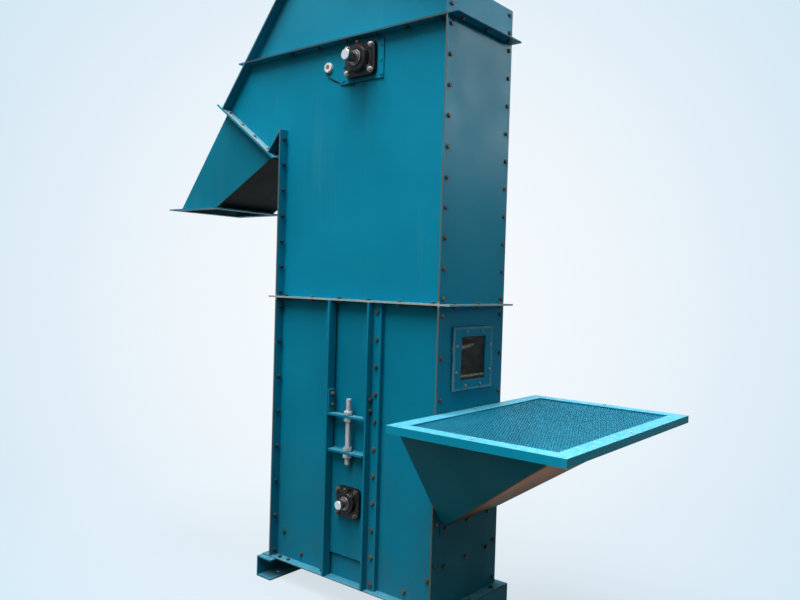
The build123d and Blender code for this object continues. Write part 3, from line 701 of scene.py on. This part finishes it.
# Looks by node, and for the other nodes by slot
WALLS = ("boot_front", "boot_back", "trunk_front", "trunk_back", "hood_front", "hood_back")
PANELS = ("boot_left", "boot_right", "trunk_left", "trunk_right")
OWN_LOOKS = {
    "hopper_bottom": bottom_teal,
    "hopper_rim": rim_teal_lit,
    "window_frame": frame_teal,
    "chute_sides": chute_teal_shaded,
    "chute_top": chute_teal_shaded,
    "chute_bottom": chute_grey_shaded,
}
OWN_LOOKS.update({name + "_wall": wall_teal for name in WALLS})
OWN_LOOKS.update({name + "_panel": panel_teal for name in PANELS})
LOOKS = {
    "teal_paint": teal,
    "bearing_black": black,
    "zinc_plate": zinc,
    "shaft_steel": steel,
    "pulley_iron": iron,
    "belt_rubber": belt_look,
    "bucket_steel": bucket_steel,
    "clear_pane": clear,
    "cap_plastic": white,
}
for part in frame["record"]["subparts"]:
    node = frame["nodes"][part["node"]]
    node.data.materials.clear()
    node.data.materials.append(OWN_LOOKS.get(part["node"], LOOKS[part["material_slot"]]))


# Bolts. A joint's bolts have the head on one face and the nut behind it. Nuts inside the casing are
# left out.
head_end = WASHER_T + HEAD_T
nut_top = WASHER_T + NUT_T
hex_top = HEX_HALF * HEX_CHAMFER
washer = turned([WASHER_R, WASHER_R], [0, WASHER_T])
bolt_head = joined(washer, hexagon(HEX_HALF, hex_top, WASHER_T, WASHER_T + 0.85 * HEAD_T, head_end))
small_head = (bolt_head[0] * SMALL, bolt_head[1])
nut_end = joined(
    washer,
    hexagon(HEX_HALF, hex_top, WASHER_T, WASHER_T + 0.88 * NUT_T, nut_top),
    turned([STUD_R, STUD_R, 0.8 * STUD_R], [nut_top, nut_top + 0.8 * STUD_OUT, nut_top + STUD_OUT]),
)
heads = []
nuts = []


def fasten(points, axis, grip=None):
    """Bolt heads at points facing along axis, and nuts on the far side when the grip is given."""
    axis = np.array(axis, float)
    for point in points:
        heads.append((np.array(point, float), axis))
        if grip is not None:
            nuts.append((np.array(point, float) - grip * axis, -axis))


def row(start, pitch, count):
    """Values from start on, a pitch apart."""
    return start + pitch * np.arange(count)


def centred(pitch, count):
    """Values a pitch apart, with their middle at 0."""
    return row(-pitch * (count - 1) / 2, pitch, count)


def both(values):
    """Each value and its mirror image."""
    return [side * value for value in values for side in (1, -1)]


# Upright rows along the narrow panels
trunk_rows = row(MID_Z + TRUNK_ROW_RISE, TRUNK_PITCH, 10)
boot_rows = row(MID_Z - BOOT_ROW_DROP, -BOOT_PITCH, 8)
hood_rows = row(HEAD_Z + HOOD_ROW_RISE, HOOD_PITCH, 2)
spout_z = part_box("spout_floor")[1].z
for side in (1, -1):
    for y in (ROW_Y, -ROW_Y):
        rows = np.concatenate([trunk_rows, boot_rows, hood_rows])
        if side < 0:
            rows = rows[rows < spout_z]
        fasten([(side * HALF_W, y, z) for z in rows], (side, 0, 0), 2 * SHEET)

# Joint flanges at the middle and under the hood, on the wide walls and across the narrow panels
joint_x = centred(JOINT_PITCH, 6)
joint_y = centred(JOINT_PITCH, 3)
for z in (MID_Z, HEAD_Z):
    top = z + SHEET
    fasten([(x, y, top) for x in joint_x for y in (ROW_Y, -ROW_Y)], (0, 0, 1), 2 * SHEET)
    fasten([(HALF_W + EDGE / 2, y, top) for y in joint_y], (0, 0, 1), 2 * SHEET)
fasten([(-HALF_W - EDGE / 2, y, MID_Z + SHEET) for y in joint_y], (0, 0, 1), 2 * SHEET)

# Corners of the wide walls between which the spout's and hood's edges slope
cover_top = np.array((hood_low.x, HEAD_Z))
peak = np.array((hood_low.x + (hood_high.z - HEAD_Z) / tan(SPOUT_ANGLE), hood_high.z))
cover_end = np.array((trunk_low.x, HEAD_Z - (hood_low.x - trunk_low.x) * tan(SPOUT_ANGLE)))
floor_end = cover_end + OUTLET_LEN * np.array((cos(OUTLET_TILT), -sin(OUTLET_TILT)))
floor_top = np.array((-HALF_W + SHEET, spout_z))
roof_end = np.array((HALF_W - SHEET, hood_high.z - (HALF_W - SHEET - peak[0]) * tan(ROOF_ANGLE)))


def fasten_slope(start, end, count):
    """Bolts square to a sloped edge, on both wide walls, spread evenly between its ends."""
    way = (end - start) / np.linalg.norm(end - start)
    out = np.array((-way[1], way[0]))
    share = (np.arange(count) + 0.5) / count
    middle = start + share[:, None] * (end - start) + SHEET * out
    points = [(x, y, z) for x, z in middle for y in (ROW_Y, -ROW_Y)]
    fasten(points, (out[0], 0, out[1]))


fasten_slope(cover_end, cover_top, 2)
fasten_slope(cover_top, peak, 4)
fasten_slope(peak, roof_end, 7)
fasten_slope(floor_top, floor_end, 1)

# The spout's outlet flange, bolted down to the chute
flange_low, flange_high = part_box("chute_inlet_flange")
flange_mid = np.array((flange_low + flange_high) / 2)
flange_way = np.array((cos(OUTLET_TILT), 0, -sin(OUTLET_TILT)))
flange_up = np.array((sin(OUTLET_TILT), 0, cos(OUTLET_TILT)))
across = np.array((0, 1, 0))
upper_face = flange_mid + (FLANGE_T / 2 + SHEET) * flange_up
outlet_spots = [(u, y) for u in centred(OUTLET_PITCH, 4) for y in both([ROW_Y])]
outlet_spots += [(u, y) for u in both([(OUTLET_LEN + EDGE) / 2]) for y in joint_y]
outlet_points = [upper_face + u * flange_way + y * across for u, y in outlet_spots]
outlet_heads = [(point, flange_up) for point in outlet_points]
nuts += [(point - (SHEET + FLANGE_T) * flange_up, -flange_up) for point in outlet_points]

# Bottom flange into the feet, boot floor, hopper skirt and table rim
fasten([(x, y, BASE_Z + SHEET) for x in both(FOOT_BOLT_X) for y in both([ROW_Y])], (0, 0, 1))
fasten([(x, y, BASE_Z + SHEET) for x in both([HALF_W + EDGE / 2]) for y in joint_y], (0, 0, 1))
floor_spots = [(side * x, z) for x, z in FLOOR_BOLTS for side in (1, -1)]
for way in (-1, 1):
    fasten([(x, way * WEB_Y, z) for x, z in floor_spots], (0, way, 0))
end_y = centred(END_PITCH, 3)
for side in (1, -1):
    fasten([(side * HALF_W, y, FLOOR_TAB_Z) for y in end_y], (side, 0, 0))
fasten([(HALF_W + SHEET, y, SKIRT_Z) for y in end_y], (1, 0, 0))
rim_low, rim_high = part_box("hopper_rim")
rim_mid = (rim_low + rim_high) / 2
rim_screws = [
    ((x, y, rim_high.z), (0, 0, 1))
    for x, y in (
        (rim_mid.x, rim_low.y + RIM_ROW_IN),
        (rim_mid.x, rim_high.y - RIM_ROW_IN),
        (rim_low.x + RIM_ROW_IN, 0),
        (rim_high.x - RIM_ROW_IN, 0),
    )
]

# Window frame, guide strips, tabs of the take-up brackets, head backing plates
frame_spots = [(y, z) for near, high in FRAME_BOLTS for y in both([near]) for z in both([high])]
frame_screws = [((window_high.x, y, window_mid.z + z), (1, 0, 0)) for y, z in frame_spots]
strip_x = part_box("front_guides")[1].x
strip_rows = row(MID_Z - BOOT_ROW_DROP, -STRIP_PITCH, 11)
tab_low, tab_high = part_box("takeup_brackets")
plate_low, plate_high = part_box("head_bearing_plates")
plate_rows = (plate_low.z + plate_high.z) / 2 + row(PLATE_ROW_LOW, PLATE_PITCH, 3)
plate_screws = []
for way in (1, -1):
    fasten(
        [(x, way * STRIP_FACE, z) for x in both([strip_x - STRIP_W / 2]) for z in strip_rows],
        (0, way, 0),
    )
    for side in (1, -1):
        tab_face = side * (tab_high.x + LEG_T)
        tab_spots = [(tab_face, way * TAB_ROW_Y, tab_high.z - drop) for drop in TAB_DROPS]
        fasten(tab_spots, (side, 0, 0), LEG_T + TAB_T)
    plate_screws += [
        ((x, way * plate_high.y, z), (0, way, 0))
        for x in both([plate_high.x - PLATE_ROW_IN])
        for z in plate_rows
    ]
piece("casing_bolt_heads", repeated(bolt_head, heads), "casing", bolts_look)
piece("casing_nuts", repeated(nut_end, nuts), "casing", bolts_look)
piece("outlet_bolt_heads", repeated(bolt_head, outlet_heads), "casing", pale_screw)
piece("rim_screws", repeated(small_head, rim_screws), "casing", rod_look)
piece("frame_screws", repeated(small_head, frame_screws), "casing", pale_screw)
piece("plate_screws", repeated(small_head, plate_screws), "casing", teal)


# Flange bearings: cast housings with ribs, a machined face and a bright inner ring
def housing(half_x, half_z, flange_t, boss_r, tall, bore_r):
    """A bearing housing about Z, its foot at 0. Each ring's radius goes from the flange's outline, a
    superellipse with the half sizes and CORNER_POWER, to a circle, and four ribs lift the rings between
    flange and boss by RIB_RISE times a bell curve of the angle from the corners. It turns back inside
    along the bore, so the skin is closed like a tyre."""
    angle = 2 * pi * np.arange(HOUSING_SIDES) / HOUSING_SIDES
    outline = (
        np.abs(np.cos(angle) / half_x) ** CORNER_POWER + np.abs(np.sin(angle) / half_z) ** CORNER_POWER
    ) ** (-1 / CORNER_POWER)
    to_corner = atan2(half_z, half_x)
    diagonal = np.abs(np.abs((angle + pi) % (2 * pi) - pi) - pi / 2)
    rib = np.exp(-(((diagonal - (pi / 2 - to_corner)) / RIB_WIDTH) ** 2))
    face_z = tall - RING_OUT
    boss_h = face_z - flange_t
    drawn_in = BOSS_DRAFT * boss_h
    top_r = boss_r - drawn_in
    foot_r = boss_r + CAST_FILLET
    seat_r = bore_r + RING_T
    shoulder = 0.86 * outline
    # Radius, height and share of the rib's rise: flange, ribs, boss, and recess with the bore
    rows = [
        (bore_r, 0.0, 0),
        (outline - CAST_CHAMFER, 0.0, 0),
        (outline, CAST_CHAMFER, 0),
        (outline, flange_t - CAST_ROUND, 0),
        (outline - 0.3 * CAST_ROUND, flange_t - 0.3 * CAST_ROUND, 0),
        (outline - CAST_ROUND, flange_t, 0),
        (np.minimum(shoulder, outline - CAST_FILLET), flange_t, 0.12),
        (0.55 * foot_r + 0.45 * shoulder, flange_t, 0.8),
        (foot_r, flange_t, 1.0),
        (boss_r + 0.25 * CAST_FILLET, flange_t + 0.3 * CAST_FILLET, 0.9),
        (boss_r, flange_t + CAST_FILLET, 0.5),
        (boss_r - 0.35 * drawn_in, flange_t + 0.5 * boss_h, 0),
        (top_r, face_z - 0.002, 0),
        (top_r - 0.4 * CAST_ROUND, face_z - 0.0005, 0),
        (top_r - CAST_ROUND, face_z, 0),
        (seat_r + 0.004, face_z, 0),
        (seat_r + 0.003, face_z - RECESS, 0),
        (seat_r, face_z - RECESS, 0),
        (seat_r, face_z - 2 * RECESS, 0),
        (bore_r, face_z - 2 * RECESS, 0),
    ]
    radius = np.stack([r + 0 * angle for r, _, _ in rows])
    height = np.stack([h + share * RIB_RISE * rib for _, h, share in rows])
    rings = np.stack([radius * np.cos(angle), radius * np.sin(angle), height], axis=-1)
    return surface(rings, hollow=True)


def inner_ring(bore_r, tall):
    """A bearing's inner ring: a collar with rounded rims about Z, from inside the housing to its end."""
    low = tall - 2 * RING_OUT - RING_ROUND
    outer = bore_r + RING_T - RING_GAP
    radii = [bore_r, outer, outer, outer - RING_ROUND, bore_r + RING_ROUND, bore_r]
    heights = [low, low, tall - 1.2 * RING_ROUND, tall, tall, tall - RING_ROUND]
    return turned(radii, heights, sides=48, hollow=True)


def grease_nipple():
    """A grease nipple about Z: hexagon, neck and ball head."""
    radii = [0.0062, 0.0062, 0.0036, 0.0034, 0.0052, 0.0056, 0.0050, 0.0026]
    heights = [0.0, 0.0055, 0.0062, 0.0090, 0.0104, 0.0136, 0.0156, 0.0168]
    return turned(radii, heights, [1, 1, 0, 0, 0, 0, 0, 0])


def bearing_bolt():
    """A larger bolt's washer, nut and stud about Z, the last two chamfered over their last millimetre."""
    washer_z, nut_z, stud_z = 0.002, 0.0104, 0.0148
    return joined(
        turned([0.0105, 0.0105], [0, washer_z]),
        hexagon(0.008, 0.0074, washer_z, nut_z - 0.001, nut_z),
        turned([0.005, 0.005, 0.004], [nut_z, stud_z - 0.001, stud_z]),
    )


def dressed_bearing(shaft, face, body, bolt, flange_t, boss_r, bolt_look, nipple_look):
    """Puts a cast housing in place of a shaft's bearing node on the front or back face, with its inner
    ring, nipple and four bolts."""
    node = f"{shaft}_bearing_{face}"
    name = f"{shaft}_{face}"
    low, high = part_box(node)
    middle = (low + high) / 2
    size = high - low
    way = -1 if middle.y < 0 else 1
    seat = high.y if way < 0 else low.y
    shaft_node = shaft + "_shaft"
    shaft_low, shaft_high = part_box(shaft_node)
    bore_r = (shaft_high.z - shaft_low.z) / 2 + BORE_GAP
    at = (middle.x, seat, middle.z)
    out = (0, way, 0)
    points, faces = housing(size.x / 2, size.z / 2, flange_t, boss_r, size.y, bore_r)
    turn = np.array([(1, 0, 0), (0, 0, way), (0, -way, 0)], float)
    points = points @ turn.T + np.array(at)
    cast = piece(name + "_housing", (points, faces), body, black)
    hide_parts(node)
    ring = repeated(inner_ring(bore_r, size.y), [(at, out)])
    piece(name + "_inner_ring", ring, body, ring_steel)
    nipple_at = (middle.x, seat + way * (flange_t + 0.010), middle.z + boss_r - 0.003)
    nipple = repeated(grease_nipple(), [(nipple_at, (0, way * 0.4, 1))])
    piece(name + "_nipple", nipple, body, nipple_look)
    bolt_y = seat + way * flange_t
    places = [((x, bolt_y, middle.z + z), out) for x in both([bolt[0]]) for z in both([bolt[1]])]
    piece(name + "_bolts", repeated(bearing_bolt(), places), body, bolt_look)


for face in ("front", "back"):
    dressed_bearing("head", face, "casing", HEAD_BOLT, HEAD_FLANGE_T, HEAD_BOSS_R, zinc, brass)
    dressed_bearing("boot", face, "takeup", BOOT_BOLT, BOOT_FLANGE_T, BOOT_BOSS_R, bolts_look, bolts_look)


# Grease pipe: from the white cap in a slack curve along the wall to under the head bearing
pipe_y = -WEB_Y - PIPE_R - PIPE_GAP
pipe_path = [
    (cap_mid.x - 0.002, cap_low.y + 0.004, cap_mid.z - 0.021),
    (cap_mid.x - 0.001, pipe_y - 0.002, cap_mid.z - 0.031),
    (cap_mid.x + 0.024, pipe_y, cap_mid.z - 0.048),
    (cap_mid.x + 0.056, pipe_y, cap_mid.z - 0.062),
    (plate_low.x - 0.004, pipe_y, plate_low.z + 0.002),
    (plate_low.x + 0.030, pipe_y - 0.001, plate_low.z - 0.004),
    (plate_low.x + 0.062, pipe_y - 0.001, plate_low.z - 0.005),
]
piece("grease_pipe", swept(PIPE_R, curved(pipe_path, 48)), "casing", pipe_look, 60)


# Expanded metal in the table: wires that zigzag along Y, each touching its neighbours in turn
def expanded_sheet(low, high):
    """Wire k runs along Y at X = (k + a half) half cells, plus a quarter cell times a flattened
    triangle wave of Y whose sign alternates from wire to wire; it tips up and down by the same wave.
    Its section is a rectangle."""
    wires = int((high.x - low.x) / (MESH_SHORT / 2))
    cells = int((high.y - low.y) / MESH_LONG)
    side = (high.x - low.x - wires * MESH_SHORT / 2) / 2
    step = np.array([MESH_KNUCKLE / 2, 0.5 - MESH_KNUCKLE / 2])
    phase = (np.arange(2 * cells)[:, None] * 0.5 + step).ravel()
    phase = np.concatenate([[0], phase, [cells]])
    wave = np.abs(((phase[None] + 0.5 * (np.arange(wires)[:, None] % 2)) % 1.0) * 2 - 1)
    wave = np.clip((wave - 0.5) / (0.5 - MESH_KNUCKLE / 2), -1, 1)
    x = low.x + side + (np.arange(wires)[:, None] + 0.5) * MESH_SHORT / 2 + wave * MESH_SHORT / 4
    y = np.broadcast_to((low.y + high.y) / 2 + (phase - cells / 2) * MESH_LONG, x.shape)
    z = high.z - MESH_THICK / 2 - MESH_RISE * (1 - wave)
    corner = np.array([(-1, -1), (1, -1), (1, 1), (-1, 1)])
    ring = np.stack([x, y, z], axis=-1)[:, :, None, :] + np.zeros((1, 1, 4, 1))
    ring[..., 0] += corner[:, 0] * MESH_STRAND / 2
    ring[..., 2] += corner[:, 1] * MESH_THICK / 2
    return joined(*[surface(wire[::-1]) for wire in ring])


grid = piece("expanded_mesh", expanded_sheet(*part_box("table_grid")), "casing", mesh_teal_lit)
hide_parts("table_grid")


# Take-up screws: threaded rods with two chamfered nuts each
def threaded_rod(radius, length):
    """A rod about Z whose radius falls by the thread depth times a triangle wave of the height in
    pitches less the angle in turns, faded out at both ends."""
    height = np.linspace(0, length, int(length / THREAD_PITCH * ROD_ROWS) + 1)[:, None]
    angle = 2 * pi * np.arange(ROD_SIDES) / ROD_SIDES
    wave = np.abs(((height / THREAD_PITCH - angle / (2 * pi)) % 1.0) * 2 - 1)
    ends = np.clip(np.minimum(height, length - height) / THREAD_PITCH, 0, 1)
    r = radius - THREAD_DEPTH * (1 - ends * wave)
    return surface(np.stack([r * np.cos(angle), r * np.sin(angle), height + 0 * angle], axis=-1))


def big_nut(half, height):
    """A hexagon nut about Z with both its faces chamfered round."""
    edge = half * NUT_CHAMFER
    return turned([edge, half, half, edge], [0, 0.12 * height, 0.88 * height, height], [0.2, 1, 1, 0.2], 24)


def nut_skin(half, height):
    """A nut about Z like a big nut, a skin's thickness larger, with a hole that clears the rod."""
    outer = half + NUT_SKIN
    edge = outer * NUT_CHAMFER
    hole = ROD_R + ROD_CLEAR
    top = height + NUT_SKIN
    return turned(
        [hole, edge, outer, outer, edge, hole],
        [-NUT_SKIN, -NUT_SKIN, NUT_EDGE, height - NUT_EDGE, top, top],
        [0, 0.2, 1, 1, 0.2, 0],
        24,
        hollow=True,
    )


screw_low, screw_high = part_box("takeup_screws")
rod_y = (BAR_IN + tab_high.y) / 2
nut_half = NUT_R * cos(pi / 6)
upper_bar = tab_low.z
up = (0, 0, 1)
rods = [((0, y, screw_low.z), up) for y in both([rod_y])]
rod_nuts = [((0, y, z), up) for y in both([rod_y]) for z in (upper_bar - NUT_H, upper_bar + BAR_T)]
rod_shape = repeated(threaded_rod(ROD_R, screw_high.z - screw_low.z), rods)
nut_shape = repeated(big_nut(nut_half, NUT_H), rod_nuts)
screws = piece("screw_rods", joined(rod_shape, nut_shape), "casing", rod_look)
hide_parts("takeup_screws")

# Nuts of the slides: skins over the solid nuts, turned as those are
slide_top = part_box("front_slide")[1].z
points, faces = nut_skin(nut_half, NUT_H)
nut_turn = np.array([(cos(NUT_TURN), -sin(NUT_TURN), 0), (sin(NUT_TURN), cos(NUT_TURN), 0), (0, 0, 1)])
slide_nuts = [
    (points @ nut_turn.T + np.array((0, y, z)), faces)
    for y in both([rod_y])
    for z in (slide_top - NUT_H, slide_top - 2 * NUT_H - BAR_T)
]
piece("slide_nuts", joined(*slide_nuts), "takeup", rod_look)


# The camera
level_share = cos(CAMERA_PITCH)
forward = Vector((-sin(CAMERA_YAW) * level_share, cos(CAMERA_YAW) * level_share, -sin(CAMERA_PITCH)))
level = Vector((cos(CAMERA_YAW), sin(CAMERA_YAW), 0))
upright = level.cross(forward)
right = cos(CAMERA_ROLL) * level + sin(CAMERA_ROLL) * upright
above = cos(CAMERA_ROLL) * upright - sin(CAMERA_ROLL) * level
camera = bpy.data.objects.new("camera", bpy.data.cameras.new("camera"))
camera.data.sensor_width = SENSOR
camera.data.sensor_fit = "HORIZONTAL"
camera.data.lens = FOCAL_PX * SENSOR / IMAGE_W
camera.data.clip_start = 0.05
camera.data.clip_end = 200
turn = Matrix((right, above, -forward)).transposed().to_4x4()
camera.matrix_world = Matrix.Translation(CAMERA_AT) @ turn
bpy.context.scene.collection.objects.link(camera)
bpy.context.scene.camera = camera

# Background: a pale blue-white pool of light round the line of sight, the same on the backdrop and
# on the floor, so that no horizon shows. Each stop is a cosine with that line, and a colour.
BACKDROP = (
    (0.80, linear(206, 230, 243)),
    (0.86, linear(216, 234, 246)),
    (0.915, linear(227, 239, 248)),
    (0.97, linear(240, 247, 252)),
    (1.0, linear(245, 250, 254)),
)

# Light of the sky straight up and at its edge, and of the ground
SKY_TOP = (1.10, 1.08, 0.97, 1)
SKY_SIDE = (0.05, 0.05, 0.04, 1)
GROUND = (0.075, 0.062, 0.045, 1)

# The floor: radius, the drop that keeps it off the feet, its colour, and the light that it throws back
FLOOR_R = 60.0
FLOOR_DROP = 0.0005
FLOOR_GREY = (0.36, 0.42, 0.46, 1)
FLOOR_BOUNCE = (0.042, 0.032, 0.017, 1)


def pool(n, direction):
    """The backdrop's colour for a direction: a ramp on its cosine with the line of sight."""
    unit = n.add("ShaderNodeVectorMath", operation="NORMALIZE", inputs={0: direction}).outputs[0]
    dot = n.add("ShaderNodeVectorMath", operation="DOT_PRODUCT", inputs={0: unit, 1: tuple(forward)})
    ramp = n.add("ShaderNodeValToRGB", inputs={0: dot.outputs["Value"]})
    stops = ramp.color_ramp.elements
    while len(stops) < len(BACKDROP):
        stops.new(0.5)
    for stop, (place, colour) in zip(stops, BACKDROP):
        stop.position = place
        stop.color = colour
    return ramp.outputs[0]


def seen(n):
    """1 for camera, glossy and transmission rays, 0 for the rays that light the object."""
    path = n.add("ShaderNodeLightPath").outputs
    some = n.maths("MAXIMUM", path["Is Camera Ray"], path["Is Glossy Ray"])
    return n.maths("MAXIMUM", some, path["Is Transmission Ray"])


def studio_world():
    """The world: the backdrop where it is seen, and a soft sky over a dim ground as light."""
    world = bpy.data.worlds.new("studio")
    world.use_nodes = True
    n = Nodes(world.node_tree)
    way = n.add("ShaderNodeTexCoord").outputs["Generated"]
    backdrop = n.add("ShaderNodeBackground", inputs={"Color": pool(n, way), "Strength": 1.0})
    sky = n.split(way)["Z"]
    upper = n.mix(n.maths("POWER", n.ramp(sky, 0.0, 1.0), 2.2), SKY_SIDE, SKY_TOP)
    lit = n.mix(n.ramp(sky, -0.06, 0.0), GROUND, upper)
    ambient = n.add("ShaderNodeBackground", inputs={"Color": lit, "Strength": 1.0})
    both_skies = n.blend(seen(n), ambient.outputs[0], backdrop.outputs[0])
    n.add("ShaderNodeOutputWorld", inputs={0: both_skies})
    return world


def floor_material():
    """Grey that takes the object's shadow close to it and fades into the backdrop's colour, and dim for
    the rays that light the object."""
    material, n = new_material("studio_floor")
    spot = n.add("ShaderNodeNewGeometry").outputs["Position"]
    from_eye = n.add("ShaderNodeVectorMath", operation="SUBTRACT", inputs={0: spot, 1: tuple(CAMERA_AT)})
    shown = n.add("ShaderNodeEmission", inputs={"Color": pool(n, from_eye.outputs[0]), "Strength": 1.0})
    catcher = n.add("ShaderNodeBsdfDiffuse", inputs={"Color": FLOOR_GREY})
    away = n.add("ShaderNodeVectorMath", operation="LENGTH", inputs={0: spot}).outputs["Value"]
    floor_seen = n.blend(n.ramp(away, 0.8, 3.0, 0.8, 1.0), catcher.outputs[0], shown.outputs[0])
    bounce = n.add("ShaderNodeBsdfDiffuse", inputs={"Color": FLOOR_BOUNCE})
    n.add("ShaderNodeOutputMaterial", inputs={"Surface": n.blend(seen(n), bounce.outputs[0], floor_seen)})
    return material


def studio_floor():
    """The floor: one wide disc."""
    angle = 2 * pi * np.arange(96) / 96
    rim = np.stack([FLOOR_R * np.cos(angle), FLOOR_R * np.sin(angle), 0 * angle], axis=-1)
    mesh = bpy.data.meshes.new("floor")
    mesh.from_pydata(rim.tolist(), [], [list(range(len(rim)))])
    mesh.materials.append(floor_material())
    floor = bpy.data.objects.new("floor", mesh)
    floor.location.z = -FLOOR_DROP
    bpy.context.scene.collection.objects.link(floor)


def soft_light(name, at, towards, size, power, colour=(1, 1, 1), spread=180):
    """A square soft light that the camera doesn't see, its beam spread in degrees."""
    lamp = bpy.data.lights.new(name, "AREA")
    lamp.shape = "RECTANGLE"
    lamp.size = size
    lamp.size_y = size
    lamp.energy = power
    lamp.color = colour
    lamp.spread = radians(spread)
    made = bpy.data.objects.new(name, lamp)
    made.location = at
    made.rotation_euler = (Vector(towards) - Vector(at)).to_track_quat("-Z", "Y").to_euler()
    made.visible_camera = False
    bpy.context.scene.collection.objects.link(made)


bpy.context.scene.world = studio_world()
soft_light("top_light", (-0.2, -0.5, 7.5), (0.1, -0.1, 0.8), 4.0, 880, (0.98, 0.99, 1.02))
soft_light("key_light", (0.3, -3.6, 6.2), (0.1, 0, 1.3), 3.2, 295, (0.98, 0.99, 1.03))
soft_light("front_light", (-0.6, -6.0, 3.0), (-0.1, 0, 1.3), 3.2, 45)
soft_light("sheen_light", (4.2, 5.4, 4.0), (0.4, 0, 2.8), 2.2, 12, (0.90, 0.97, 1.0), spread=22)
studio_floor()
bpy.context.scene.view_settings.view_transform = "Standard"
